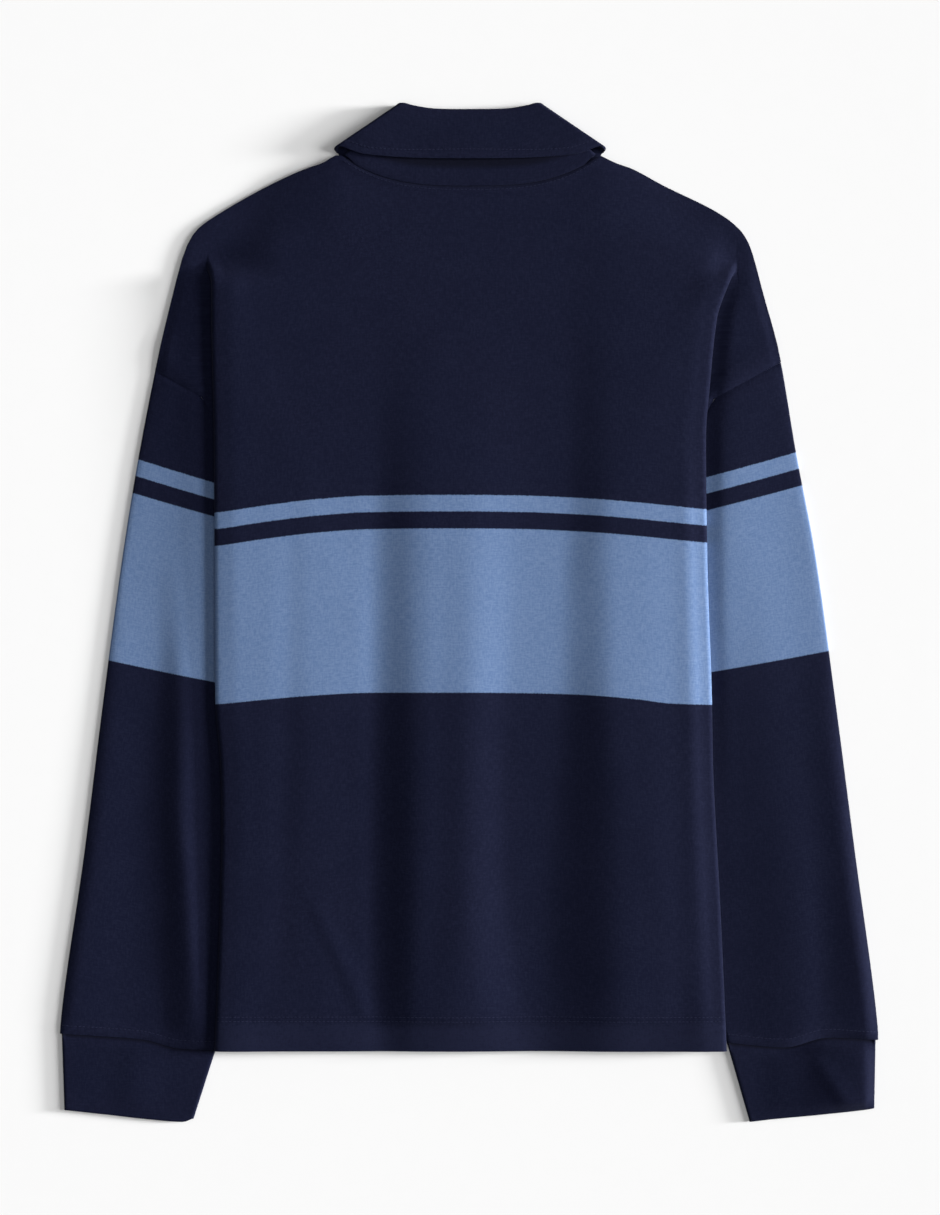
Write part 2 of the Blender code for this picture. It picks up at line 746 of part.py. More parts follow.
def slotCells(grid):
    """Cells of the front that the placket slot leaves out."""
    middle = len(grid[0]) // 2
    return {(i, j) for i in range(SLOT_ROW) for j in (middle - 1, middle)}


def main():
    for old in list(bpy.data.objects):
        bpy.data.objects.remove(old)
    shirt = bpy.data.collections.new("polo_shirt")
    bpy.context.scene.collection.children.link(shirt)

    navy = makeMaterial("navy_jersey", (0.012, 0.013, 0.034), 0.9, 0.3)
    cuffCloth = makeMaterial("navy_cuff", (0.011, 0.012, 0.031), 0.9, 0.3)
    collarCloth = makeMaterial("navy_collar", (0.012, 0.013, 0.033), 0.88, 0.3)
    plastic = makeMaterial("button_plastic", (0.02, 0.021, 0.035), 0.35)

    makeShell("back", panelGrid(BACK_NECK_DROP, 1), JERSEY, navy, shirt)
    front = panelGrid(FRONT_NECK_DROP, -1)
    makeShell("front", front, JERSEY, navy, shirt, skipped=slotCells(front))
    for side in SIDES:
        makeShell(f"sleeve_{side}", sleeveGrid(side), JERSEY, navy, shirt, ring=True)
        makeShell(f"cuff_{side}", cuffGrid(side), RIB, cuffCloth, shirt, ring=True)
    makeShell("collar_stand", standGrid(), COLLAR, collarCloth, shirt)
    makeShell("collar_leaf", leafGrid(), COLLAR, collarCloth, shirt)

    foot = ROWS_TOP[SLOT_ROW]
    below = (JERSEY + STRIP) / 2 + SEAM_GAP
    under = stripGrid(UNDER_HALF, foot + UNDER_FOOT, 0)
    makeShell("placket_under", under, STRIP, navy, shirt)
    over = stripGrid(OVER_HALF, foot - OVER_FOOT, below)
    makeShell("placket_over", over, STRIP, navy, shirt)
    for i in range(BUTTONS):
        makeButton(f"button_{i + 1}", BUTTON_TOP_Y - BUTTON_SPACING * i, plastic, shirt)


main()
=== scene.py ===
import math

import bpy
import numpy as np
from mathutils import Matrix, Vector
from mathutils.bvhtree import BVHTree


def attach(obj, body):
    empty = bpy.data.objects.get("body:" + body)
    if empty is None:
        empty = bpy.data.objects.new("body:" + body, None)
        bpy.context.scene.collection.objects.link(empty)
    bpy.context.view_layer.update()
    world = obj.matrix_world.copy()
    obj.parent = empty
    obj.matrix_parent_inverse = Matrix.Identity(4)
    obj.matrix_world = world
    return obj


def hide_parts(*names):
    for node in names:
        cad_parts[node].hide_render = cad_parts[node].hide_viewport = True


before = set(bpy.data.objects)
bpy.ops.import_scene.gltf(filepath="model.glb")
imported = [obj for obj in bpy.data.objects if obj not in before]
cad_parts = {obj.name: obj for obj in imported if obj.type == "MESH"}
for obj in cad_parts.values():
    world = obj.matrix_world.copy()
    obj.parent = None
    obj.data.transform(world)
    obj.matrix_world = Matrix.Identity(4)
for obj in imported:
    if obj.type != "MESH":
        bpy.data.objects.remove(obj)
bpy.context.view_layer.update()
print("stage: the packed shirt is loaded")

# Sizes are millimetres until a mesh is made: x across, y towards the collar, z up. On either
# side, a is the distance from the middle line. The shirt lies face down, so its back shows.
mm = 0.001
sides = {"left": -1, "right": 1}

cloth = {
    "jerseyWall": 1.1,
    "cuffWall": 1.5,
    "collarWall": 1.6,
    "stripWall": 1.2,
    "seamGap": 0.35,
    "layerPitch": 1.9,  # from the middle of one layer to the next
    "edgeShare": 0.36,  # of the wall, for the rounding of its edges
    "edgeAngle": math.radians(62),
    "longWave": 0.16,
    "shortWave": 0.06,
}
halfPitch = cloth["layerPitch"] / 2
restHeight = halfPitch + cloth["jerseyWall"] / 2

outline = {
    "y": [352, 346, 342, 330, 307, 295, 284, 272, 249, 203, 122, 45, -71, -187, -302, -322],
    "left": [104, 114, 126, 153, 194, 210.5, 217.5, 222, 228, 239, 255, 267.5, 283, 297.5, 314, 316],
    "right": [100, 112.5, 124, 147, 193, 208, 215, 219, 225, 237.5, 251.5, 266, 282, 297, 312.5, 314.5],
}
bodyEdge = {
    "y": [300, 275, 252, 226, 180, 133, 45, -64, -118, -161, -215, -302, -337],
    "left": [200, 205, 199, 199, 198, 197, 196.5, 196, 192, 191, 192, 195, 196.5],
    "right": [212, 208, 199, 190, 185, 181.5, 182.5, 186, 187, 189, 192, 196, 197.5],
}
body = {
    "foldRadius": 2.2,
    "foldTop": 270.0,  # where both folds of a side start
    "foldStart": 276.0,  # where the side begins to turn under, and over what length
    "foldTurn": 32.0,
    "foldAngle": math.radians(20),
    "leastStrip": 1.2,
    "coverFar": 62.0,  # the layers below raise the cloth between these distances from their edge
    "coverNear": 5.0,
    "coverEdge": 8.0,
    "armpitY": -5.0,
    "hemY": -337.0,
    "hemStrip": 85.0,
    "hemHeight": 23.5,  # from the edge to the stitching
    "hemLift": 0.35,  # the turned cloth below the stitching
    "hemGroove": 0.25,
    "hemStiff": 0.3,  # share of the folds that the stitched hem takes out
    "neckRidge": 0.45,
    "neckFall": 0.4,
    "rise": 0.2,  # the back lies this much above the solid's own surface
    "frontShare": 0.2,  # share of the back's folds that the front has
    "rowsTop": [300, 292, 284, 276, 268, 260, 250, 238, 218, 192, 163, 130, 92, 45, -5],
    "rowsLow": [-35, -85, -140, -195, -250, -298, -337],
    "straightRow": 8,
    "bendRow": 6,
    "slotRow": 12,
    "slotHalf": 15.0,
    "slotColumns": 4,
    "rowStep": 4.2,
    "steepRows": 4,  # the shoulder falls away fastest in these rows
    "steepSteps": 6,
    "mainColumns": 44,
    "rollColumns": 9,
    "stripColumns": 12,
    "flapColumns": 12,
}
armhole = {
    "left": {"shoulderY": 187, "bend": (207, 166.5)},
    "right": {"shoulderY": 193, "bend": (188, 165)},
}
cuffSeam = {
    "left": ((314.5, -324), (252, -328.5), (223, -335.5), (196, -336.5)),
    "right": ((312.5, -329), (275, -327), (241, -334.5), (198, -331)),
}
cuffEnd = {
    "left": ((312.5, -382.8), (280, -386.3), (245, -390.2), (221, -392), (213, -389)),
    "right": ((311.5, -381.5), (267, -386.5), (232, -390), (215.5, -392)),
}
neck = {"y": 351.5, "half": 98.0, "backDrop": 22.5, "frontDrop": 92.5}
hemEnd = body["hemY"] + body["hemHeight"]
topRow = body["rowsTop"][0]
armpitIndex = len(body["rowsTop"]) - 1
flatTurn = 0.98 * math.pi  # from here on a fold counts as closed


def smooth(value, low=0.0, high=1.0):
    share = np.clip((value - low) / (high - low), 0, 1)
    return share * share * (3 - 2 * share)


def mix(a, b, share):
    return a + (b - a) * share


def bulge(value, middle, width):
    return np.exp(-(((value - middle) / width) ** 2))


# A smooth line through a table's points that never swings past them.
def through(knots, values, at):
    knots, values = np.asarray(knots, float), np.asarray(values, float)
    steps = np.diff(knots)
    slopes = np.diff(values) / steps
    tangents = np.concatenate([slopes[:1], np.zeros(len(knots) - 2), slopes[-1:]])
    for i in range(1, len(knots) - 1):
        if slopes[i - 1] * slopes[i] > 0:
            tangents[i] = 2 * slopes[i - 1] * slopes[i] / (slopes[i - 1] + slopes[i])
    at = np.asarray(at, float)
    i = np.clip(np.searchsorted(knots, at, side="right") - 1, 0, len(knots) - 2)
    t = np.clip((at - knots[i]) / steps[i], 0, 1)
    rise = t * t * (3 - 2 * t)
    start, end = t * (1 - t) ** 2, t * t * (t - 1)
    return mix(values[i], values[i + 1], rise) + steps[i] * (
        tangents[i] * start + tangents[i + 1] * end
    )


# A table's column at height y, where a single number stands for a column of the same ones
def readTable(table, column, y):
    values = table[column]
    if isinstance(values, (int, float)):
        return values
    return through([-v for v in table["y"]], values, -np.asarray(y, float))


def edgeX(side, y):
    return readTable(bodyEdge, side, y)


def stripWidth(y):
    slant = math.tan(body["foldAngle"])
    atArmpit = (body["foldTop"] - body["armpitY"]) * slant
    share = (body["armpitY"] - y) / (body["armpitY"] - body["hemY"])
    above = np.maximum((body["foldTop"] - y) * slant, 0)
    return np.where(y > body["armpitY"], above, mix(atArmpit, body["hemStrip"], share))


def hiddenX(side, y):
    return edgeX(side, y) - stripWidth(y)


def underarmX(side, y):
    bottom = cuffSeam[side][-1]
    share = (body["armpitY"] - y) / (body["armpitY"] - bottom[1])
    return mix(hiddenX(side, body["armpitY"]), bottom[0], share)


def foldAngle(y):
    return np.maximum(math.pi * smooth(body["foldStart"] - y, 0, body["foldTurn"]), 0.001)


def rollRadius(angle):
    return body["foldRadius"] * (math.pi / angle) ** 0.25


def stripLength(y):
    return np.maximum(stripWidth(y) - 2 * (body["foldRadius"] + restHeight), body["leastStrip"])


def foldDrop(y):
    angle = foldAngle(y)
    paintedTone = 2 * rollRadius(angle) * (1 - np.cos(angle)) + stripLength(y) * np.sin(angle)
    return np.where(angle > flatTurn, 4 * body["foldRadius"], paintedTone)


# How far a hidden layer raises the cloth above it
def layerRise(side, a, y, inner):
    inner = np.minimum(inner, edgeX(side, y) - body["coverEdge"])
    return foldDrop(y) / 2 * smooth(a, inner - body["coverFar"], inner - body["coverNear"])


def sleeveRise(side, a, y):
    inner = np.where(y > body["armpitY"], hiddenX(side, y), underarmX(side, y))
    return layerRise(side, a, y, inner)


def sideRise(side, a, y):
    return sleeveRise(side, a, y) + layerRise(side, a, y, hiddenX(side, y))


# The collar and the placket below the back raise it: half widths, feet and how it falls off
raisedBy = {"collar": (92, 235), "placket": (18, 100), "fall": (6, 80)}


def collarShare(x, y):
    gaps = [
        np.hypot(np.maximum(abs(x) - half, 0), np.maximum(foot - y, 0))
        for half, foot in (raisedBy["collar"], raisedBy["placket"])
    ]
    return 1 - smooth(np.minimum(*gaps), *raisedBy["fall"])


def mainHeight(side, a, y):
    raised = collar["rise"] * collarShare(sides[side] * a, y)
    return restHeight + raised + sideRise(side, a, y)


def neckline(a, drop):
    return neck["y"] - drop * (1 - np.minimum(a / neck["half"], 1) ** 3)


def topLine(side, a, drop):
    shoulder = through(outline[side][:11], outline["y"][:11], a)
    return np.where(a <= neck["half"], neckline(a, drop), shoulder)


def mixPoint(p, q, share):
    return tuple(mix(a, b, share) for a, b in zip(p, q))


def armholeLine(side):
    y = armhole[side]["shoulderY"]
    armpit = (float(hiddenX(side, body["armpitY"])) + 8, body["armpitY"])
    return (float(readTable(outline, side, y)), y), armhole[side]["bend"], armpit


# The creases that the photo shows. Each runs down the cloth: at each height the middle of its
# line, how high it stands or, below nothing, how deep it sinks, and its reach to both sides.
backCreases = [
    {"y": [235, 150, 40, -60, -180, -300, -337], "x": [-80, -80, -80, -80, -79, -78, -76],
     "height": [0, -0.3, -0.6, -0.8, -1.1, -1.2, -0.8], "left": [44, 48, 50, 50, 46, 40, 36],
     "right": [30, 32, 32, 32, 30, 30, 30]},
    {"y": [235, 160, 60, -60, -170, -270, -337], "x": [-24, -26, -28, -29, -31, -31, -28],
     "height": [0, 1.6, 4.0, 4.8, 5.2, 5.0, 3.4], "left": [50, 50, 50, 49, 48, 48, 48],
     "right": [100, 120, 150, 150, 140, 130, 110]},
    {"y": [120, 40, -30, -100, -190, -250, -337], "x": [4, 4, 4, 2, 3, -4, -10],
     "height": [0, 0.5, 0.9, 1.2, 1.6, 1.6, 1.0], "left": 30,
     "right": [30, 30, 28, 26, 26, 38, 50]},
    {"y": [215, 120, 40, -60, -170, -260, -337], "x": [-66, -66, -66, -66, -66, -66, -64],
     "height": [0, -0.4, -0.9, -1.3, -1.8, -1.9, -1.4], "left": 20,
     "right": 24},
    {"y": [235, 150, 60, -40, -105, -190, -275, -337], "x": [44, 42, 38, 34, 30, 28, 40, 50],
     "height": [0, -0.6, -1.3, -1.9, -2.6, -3.4, -3.8, -3.0],
     "left": [42, 42, 42, 40, 38, 38, 40, 42], "right": [54, 58, 64, 74, 82, 86, 78, 70]},
    {"y": [235, 150, 60, -60, -160, -260, -330], "x": [108, 109, 110, 112, 116, 118, 116],
     "height": [0, 1.8, 4.1, 5.0, 6.2, 6.2, 3.8], "left": [36, 36, 38, 42, 54, 62, 62],
     "right": [84, 90, 94, 94, 88, 82, 76]},
    {"y": [130, 60, -40, -150, -280, -337], "x": [170, 168, 170, 173, 178, 180],
     "height": [0, 0.7, 1.1, 1.4, 1.4, 0.8], "left": [40, 42, 44, 46, 46, 42],
     "right": 12},
    {"y": [120, 40, -80, -200, -300, -332], "x": [157, 157, 158, 160, 163, 164],
     "height": [0, -0.5, -0.6, -0.6, -0.5, -0.2], "left": [26, 26, 24, 20, 16, 14],
     "right": 15},
    {"y": [-214, -237, -270, -304, -318], "x": [-124, -114, -98, -83, -77],
     "height": [0, 0.6, 0.8, 0.6, 0], "left": [8, 9, 10, 9, 8], "right": [13, 14, 15, 14, 13]},
    {"y": [300, 262, 215, 150, 60], "x": [118, 120, 118, 112, 108],
     "height": [0, 1.0, 1.2, 0.6, 0], "left": [50, 50, 46, 40, 36], "right": [76, 76, 72, 66, 60]},
    {"y": [120, 40, -80, -190, -300], "x": [-136, -138, -140, -143, -146],
     "height": [0, -0.3, -0.5, -0.6, 0], "left": [14, 16, 16, 18, 16],
     "right": [12, 14, 16, 16, 14]},
]
creaseEnd = 12.0  # a crease ends this far below its last row
# Between its thick sides the back spans the dip at these heights.
span = {
    "y": [340, 300, 272, 245, 200, 60, -60, -200, -300, -337],
    "height": [2.6, 3.6, 5.8, 8.4, 9.2, 9.3, 9.1, 8.8, 8.0, 7.0],
    "softness": 1.4,
    "fade": {"left": 64, "right": 26},  # from the edge, where the side isn't turned yet
    "turnedFade": (3, 17),
    "topFade": 52,
}
sleeveRidges = {
    "left": [
        {"y": [60, 0, -53, -150, -204, -258, -312, -326],
         "x": [-224, -223, -221, -222, -218, -214, -211, -211],
         "height": [0, 1.2, 2.8, 4.8, 5.4, 5.6, 4.6, 2.4],
         "left": [18, 18, 18, 20, 22, 26, 28, 27], "right": [24, 24, 22, 22, 20, 17, 14, 14]},
        {"y": [30, -60, -100, -210, -300, -322], "x": [-265, -278, -283, -297, -310, -312],
         "height": [0, 0.8, 1.1, 1.4, 1.4, 0.8], "left": 15,
         "right": [34, 38, 42, 52, 60, 60]},
    ],
    "right": [
        {"y": [-20, -96, -172, -226, -290, -326], "x": [284, 290, 299, 302, 306, 307],
         "height": [0, 2.2, 4.0, 5.3, 5.8, 4.8], "left": [30, 36, 38, 38, 40, 42],
         "right": [10, 10, 10, 10, 9, 9]},
        {"y": [60, -60, -172, -226, -328], "x": [229, 234, 244, 252, 256],
         "height": [0, 1.2, 2.4, 3.2, 3.2], "left": [30, 36, 46, 52, 54],
         "right": [50, 52, 50, 46, 46]},
    ],
}
# Beside each rolled body edge the shoulder and the sleeve swell up again.
edgeSwell = {
    "y": [278, 235, 190, 60, -40, -150, -300],
    "left": [0, 1.4, 2.0, 2.0, 1.6, 0.8, 0],
    "right": [0, 1.8, 2.6, 2.6, 1.6, 0.5, 0],
    "away": 14.0,  # from the body edge to the crest
    "inner": 12.5,
    "outer": 58.0,
    "rim": 9.0,
}
cuffRidges = {
    "left": [
        {"y": [-330, -345, -372, -392], "x": [-252, -256, -258, -250],
         "height": [0.5, 0.9, 0.7, 0.3], "left": [20, 24, 22, 18], "right": [26, 30, 28, 24]},
    ],
    "right": [
        {"y": [-326, -340, -366, -386, -393], "x": [302, 303, 304, 304, 304],
         "height": [4.6, 6.4, 7.4, 7.2, 6.6], "left": [70, 76, 80, 82, 82],
         "right": [11, 11, 10, 10, 10]},
        {"y": [-340, -352, -366, -378, -390], "x": [266, 272, 281, 289, 294],
         "height": [0, 0.9, 1.1, 0.8, 0.2], "left": [8, 9, 10, 9, 8], "right": [14, 16, 16, 15, 14]},
        {"y": [-332, -350, -372, -390], "x": [236, 240, 240, 236],
         "height": [0.4, 0.8, 0.6, 0.2], "left": [20, 22, 22, 20], "right": [18, 22, 22, 20]},
    ],
}


def creaseLift(ridges, x, y):
    lift = np.zeros(np.broadcast(x, y).shape)
    for ridge in ridges:
        middle, height, left, right = (
            readTable(ridge, key, y) for key in ("x", "height", "left", "right")
        )
        reach = np.where(x < middle, left, right)
        inside = (y < ridge["y"][0]) & (y > ridge["y"][-1] - creaseEnd)
        lift = lift + height * (1 - smooth(abs(x - middle), 0, reach)) * inside
    return lift


# What a function of one side gives over the whole width
def bothSides(function, x, y):
    return np.where(x < 0, function("left", abs(x), y), function("right", abs(x), y))


def swellLift(side, a, y):
    away = a - edgeX(side, y) - edgeSwell["away"]
    reach = np.where(away < 0, edgeSwell["inner"], edgeSwell["outer"])
    height = readTable(edgeSwell, side, y)
    edge = smooth(readTable(outline, side, y) - a, 0, edgeSwell["rim"])
    return height * (1 - smooth(abs(away), 0, reach)) * edge


def spanLift(x, y):
    below = bothSides(sideRise, x, y) + collar["rise"] * collarShare(x, y)
    free = readTable(span, "height", y) - below
    return (free + np.sqrt(free**2 + span["softness"] ** 2)) / 2


# Slight waves that cloth keeps even when it's smoothed out by hand
def unevenness(x, y):
    long = np.sin(x / 31 + 0.8 * np.sin(y / 57)) * np.cos(y / 74 + 0.5)
    short = np.sin(x / 13.5 + y / 38 + 1.3) * np.sin(y / 23 - x / 61)
    return cloth["longWave"] * long + cloth["shortWave"] * short


def turnedShare(angle):
    return smooth(angle, 0.3 * math.pi, 0.9 * math.pi)


# The folds end at the rolled sides and at the top of the back.
def foldFade(side, a, y):
    start, end = span["turnedFade"]
    wide = mix(span["fade"][side], end, turnedShare(foldAngle(y)))
    top = topLine(side, a, neck["backDrop"])
    return smooth(edgeX(side, y) - a, start, wide) * smooth(top - y, 0, span["topFade"])


# One side of the body's middle surface, rows down and columns from the middle outwards.
# Its last value is the distance along the cloth, which the knit and the stripes follow.
def bodyHalf(side, rows, neckDrop):
    heights = body["rowsTop"] + body["rowsLow"]
    y = np.interp(rows, range(len(heights)), heights)[:, None]
    angle = foldAngle(y)
    radius = rollRadius(angle)
    start = edgeX(side, y) - mix(4, body["foldRadius"] + restHeight, turnedShare(angle))
    follow = np.maximum(1 - rows[:, None] / body["straightRow"], 0)

    def down(a):
        return y + (topLine(side, a, neckDrop) - topRow) * follow

    columns = body["slotColumns"] + 1
    slot = np.broadcast_to(np.linspace(0, body["slotHalf"], columns), (len(y), columns))
    share = np.linspace(0, 1, body["mainColumns"])[1:]
    a = np.concatenate([slot, mix(body["slotHalf"], start, share)], axis=1)
    at = down(a)
    parts = [np.stack([a, at, mainHeight(side, a, at)], axis=2)]
    parts[0][:, -1, 2] = mainHeight(side, start, y)[:, 0]
    top = parts[0][:, -1:, 2]

    turn = angle * np.linspace(0, 1, body["rollColumns"])[1:]
    a = start + radius * np.sin(turn)
    z = top - radius * (1 - np.cos(turn))
    parts.append(np.stack([a, down(a), z], axis=2))

    gone = stripLength(y) * np.linspace(0, 1, body["stripColumns"])[1:]
    edgeA, edgeZ = a[:, -1:], z[:, -1:]
    a = edgeA + gone * np.cos(angle)
    z = np.where(angle > flatTurn, restHeight + sleeveRise(side, a, y), edgeZ - gone * np.sin(angle))
    parts.append(np.stack([a, down(a), z], axis=2))

    centreA = a[:, -1:] + radius * np.sin(angle)
    centreZ = z[:, -1:] + radius * np.cos(angle)
    turn = angle * (1 - np.linspace(0, 1, body["rollColumns"])[1:])
    a = centreA - radius * np.sin(turn)
    z = centreZ - radius * np.cos(turn)
    at = down(a)
    parts.append(np.stack([a, at, z], axis=2))

    shoulderEnd, bend, armpit = armholeLine(side)
    bendRow = body["bendRow"]
    before = np.clip(rows / bendRow, 0, 1)[:, None]
    after = np.clip((rows - bendRow) / (armpitIndex - bendRow), 0, 1)[:, None]
    outer = [mix(mix(s, b, before), p, after) for s, b, p in zip(shoulderEnd, bend, armpit)]
    share = np.linspace(0, 1, body["flapColumns"])[1:]
    a = mix(centreA, outer[0], share)
    at = mix(at[:, -1:], outer[1], share)
    firstY = float(topLine(side, centreA[0, 0], 0))
    chordA, chordY = mix(centreA[0, 0], shoulderEnd[0], share), mix(firstY, shoulderEnd[1], share)
    follow = np.maximum(1 - rows[:, None] / bendRow, 0)
    at = at + follow * (topLine(side, chordA, 0) - chordY)
    parts.append(np.stack([a, at, np.full(a.shape, restHeight)], axis=2))
    return np.concatenate(parts, axis=1)


def gridNormals(points):
    normal = np.cross(np.gradient(points, axis=0), np.gradient(points, axis=1))
    return normal / np.maximum(np.linalg.norm(normal, axis=2, keepdims=True), 1e-9)


def bodyRows():
    heights = body["rowsTop"] + body["rowsLow"]
    rows = []
    for i in range(len(heights) - 1):
        count = max(2, math.ceil((heights[i] - heights[i + 1]) / body["rowStep"]))
        if i < body["steepRows"]:
            count = body["steepSteps"]
        rows += [i + k / count for k in range(count)]
    return np.array(rows + [len(heights) - 1.0])


def panel(neckDrop, sign):
    rows = bodyRows()
    left, right = (bodyHalf(side, rows, neckDrop) for side in sides)
    left[:, :, 0] *= -1
    middle = np.concatenate([left[:, :0:-1], right], axis=1)
    half = left.shape[1] - 1
    columns = np.arange(middle.shape[1])
    out = abs(columns - half)
    mainEnd = body["slotColumns"] + body["mainColumns"] - 1
    stripEnd = mainEnd + body["rollColumns"] - 1 + body["stripColumns"] - 1
    inside = out <= stripEnd
    armpitRow = int(np.searchsorted(rows, armpitIndex))

    along = np.linalg.norm(np.diff(middle[:, :, [0, 2]], axis=1), axis=2)
    across = np.concatenate([np.zeros((len(rows), 1)), np.cumsum(along, axis=1)], axis=1)
    across = across - across[:, half : half + 1]

    normals = gridNormals(middle)
    normals[armpitRow:, inside] = gridNormals(middle[armpitRow:, inside])
    normals[: armpitRow + 1] = gridNormals(middle[: armpitRow + 1])
    x, y = middle[:, :, 0], middle[:, :, 1]
    gap = mix(halfPitch, collar["halfGap"], collarShare(x, y))
    closed = (cloth["jerseyWall"] + cloth["seamGap"]) / 2
    shoulder = (1 - smooth(rows, 0, 0.7))[:, None] * (abs(x) > neck["half"])
    sideSeam = (1 - smooth(stripEnd - out, 0, 2))[None, :] * (rows >= armpitIndex)[:, None]
    gap = mix(gap, closed, np.maximum(shoulder, sideSeam))
    points = middle + sign * gap[:, :, None] * normals
    x, y = points[:, :, 0].copy(), points[:, :, 1].copy()
    main = out < mainEnd
    creases = creaseLift(backCreases, x, y) + unevenness(x, y) + body["rise"]
    lift = np.maximum(spanLift(x, y) + creases, 0) * bothSides(foldFade, x, y) * main
    hem = 1 - smooth(y, hemEnd - 2, hemEnd)
    groove = bulge(y, hemEnd + 1, 1.6)
    raised = lift * (1 - body["hemStiff"] * hem)
    raised = raised + main * (body["hemLift"] * hem - body["hemGroove"] * groove)
    flap = (out > stripEnd + body["rollColumns"] - 1) & (sign > 0)
    toSeam = half - out
    seamRidge = tube["seamRidge"] * bulge(toSeam, 1, 0.8) * (toSeam > 0)
    toNeck = np.where(abs(x) < neck["half"] - 1, neckline(abs(x), neckDrop) - y, 99)
    neckSeam = body["neckRidge"] * bulge(toNeck, 3.6, 1.7)
    neckSeam = neckSeam - body["neckFall"] * (1 - smooth(toNeck, 0.2, 2.2))
    points[:, :, 2] += flap * (bothSides(swellLift, x, y) + seamRidge) + sign * neckSeam
    if sign > 0:
        points[:, :, 2] += raised
    else:
        points[:, :, 2] += body["frontShare"] * lift * (1 - collarShare(x, y))
    return {
        "points": points, "rows": rows, "half": half, "stripEnd": stripEnd,
        "armpitRow": armpitRow, "across": across, "toNeck": toNeck,
    }


# The third value of clothPlace is painted light and shade: above nothing it is painted light on the hem
# band, the sleeve's end at the cuff seam and the leaf's edge, and below nothing it is painted shade in
# the crevices of the neck and cuff seams and the painted shadow of the leaf on the band.
paintedLightAndShade = {"neck": 0.55, "sleeveEnd": 0.6, "cuff": 0.85, "paintedLeafShadow": 0.65, "leafEdge": 0.5}

# The stripes sink a little towards the sides, as the photo shows.
droop = {
    "x": [-260, -197, -160, -120, -79, -30, 0, 40, 87, 130, 154, 184, 260],
    "top": [-18, -13.6, -8.2, -3.3, -0.5, 0, 0, -0.4, -2.4, -5.8, -8.2, -11, -16],
    "low": [-12, -9.1, -5.6, -2.2, -0.2, 0, 0, -0.4, -1.7, -5.2, -8.3, -9.4, -12],
    "between": (-60, 65),  # heights at which the low and the top one hold
}


def bodyPlace(grid):
    x, y, across = grid["points"][:, :, 0], grid["points"][:, :, 1], grid["across"]
    top, low = (through(droop["x"], droop[key], across) for key in ("top", "low"))
    # painted light on the hem band below the stitching
    hem = 1 - smooth(y, hemEnd - 1, hemEnd)
    # painted shade in the crevice of the neck seam
    paintedShade = paintedLightAndShade["neck"] * (1 - smooth(grid["toNeck"], 0.3, 3.0))
    along = y - mix(low, top, smooth(y, *droop["between"]))
    return np.stack([across, along, hem - paintedShade], axis=2)


def placeMesh(name, points, place, kept, ring=False):
    rows, columns = points.shape[:2]
    index = np.arange(rows * columns).reshape(rows, columns)
    nextColumn = np.roll(index, -1, axis=1)
    if not ring:
        index, nextColumn = index[:, :-1], nextColumn[:, :-1]
    cells = np.stack([index[:-1], index[1:], nextColumn[1:], nextColumn[:-1]], axis=2)
    faces = cells[kept]
    used, faces = np.unique(faces, return_inverse=True)
    mesh = bpy.data.meshes.new(name)
    mesh.from_pydata(points.reshape(-1, 3)[used] * mm, [], faces.reshape(-1, 4).tolist())
    layer = mesh.attributes.new("clothPlace", "FLOAT_VECTOR", "POINT")
    layer.data.foreach_set("vector", place.reshape(-1, 3)[used].ravel().astype(np.float32))
    mesh.shade_smooth()
    mesh.update()
    return mesh


def makeCloth(name, points, place, wall, material, kept=None, ring=False):
    if kept is None:
        kept = np.ones((points.shape[0] - 1, points.shape[1] - (0 if ring else 1)), bool)
    piece = bpy.data.objects.new(name, placeMesh(name, points, place, kept, ring))
    bpy.context.scene.collection.objects.link(piece)
    piece.data.materials.append(material)
    shell = piece.modifiers.new("cloth wall", "SOLIDIFY")
    shell.thickness = wall * mm
    shell.offset = 0
    edge = piece.modifiers.new("soft edge", "BEVEL")
    edge.width = cloth["edgeShare"] * wall * mm
    edge.segments = 2
    edge.limit_method = "ANGLE"
    edge.angle_limit = cloth["edgeAngle"]
    return piece


def makeBody(name, grid, material, slot):
    rows, half = grid["rows"], grid["half"]
    columns = np.arange(grid["points"].shape[1] - 1)
    out = np.maximum(abs(columns - half), abs(columns + 1 - half))
    kept = np.ones((len(rows) - 1, len(columns)), bool)
    kept[grid["armpitRow"]:, out > grid["stripEnd"]] = False
    if slot:
        kept[np.ix_(rows[:-1] < body["slotRow"], out <= body["slotColumns"])] = False
    return makeCloth(
        name, grid["points"], bodyPlace(grid), cloth["jerseyWall"], material, kept
    )


# Sleeves and cuffs
tube = {
    "sleeveRows": 88,
    "cuffRows": 18,
    "columns": 34,
    "rollColumns": 6,
    "bendShare": 0.25,  # the column at the bend of the armhole seam
    "seamShift": ((0.0, 0.08), (-0.05, 0.08), (-0.05, 0.08)),  # the edges touch in the seam
    "cuffShift": 0.06,
    "cuffHollow": 0.7,
    "seamRidge": 1.05,  # the seam allowance pushes the cloth up beside the seam
    "seamFall": 0.35,
    "cuffFall": 0.9,  # the seam pulls the cuff's edge down
    "rise": 0.15,
    "wave": 0.7,  # how much of the body's unevenness a sleeve has, and how much shorter it is
    "waveShrink": 1.4,
}
# The stripes' slant on a sleeve, low and high on it, and how far they are moved and drawn together
sleeveStripes = {
    "left": {"low": 0.20, "high": 0.30, "moved": 10.2, "drawn": 0.019},
    "right": {"low": 0.17, "high": 0.27, "moved": 19.4, "drawn": 0.01},
    "middle": (208.2, -46),
    "slantFrom": -48,
    "slantReach": 150,
}


def alongLine(points, share):
    points = np.array(points, float)
    lengths = np.concatenate([[0], np.cumsum(np.linalg.norm(np.diff(points, axis=0), axis=1))])
    return np.stack([through(lengths, points[:, k], share * lengths[-1]) for k in (0, 1)], -1)


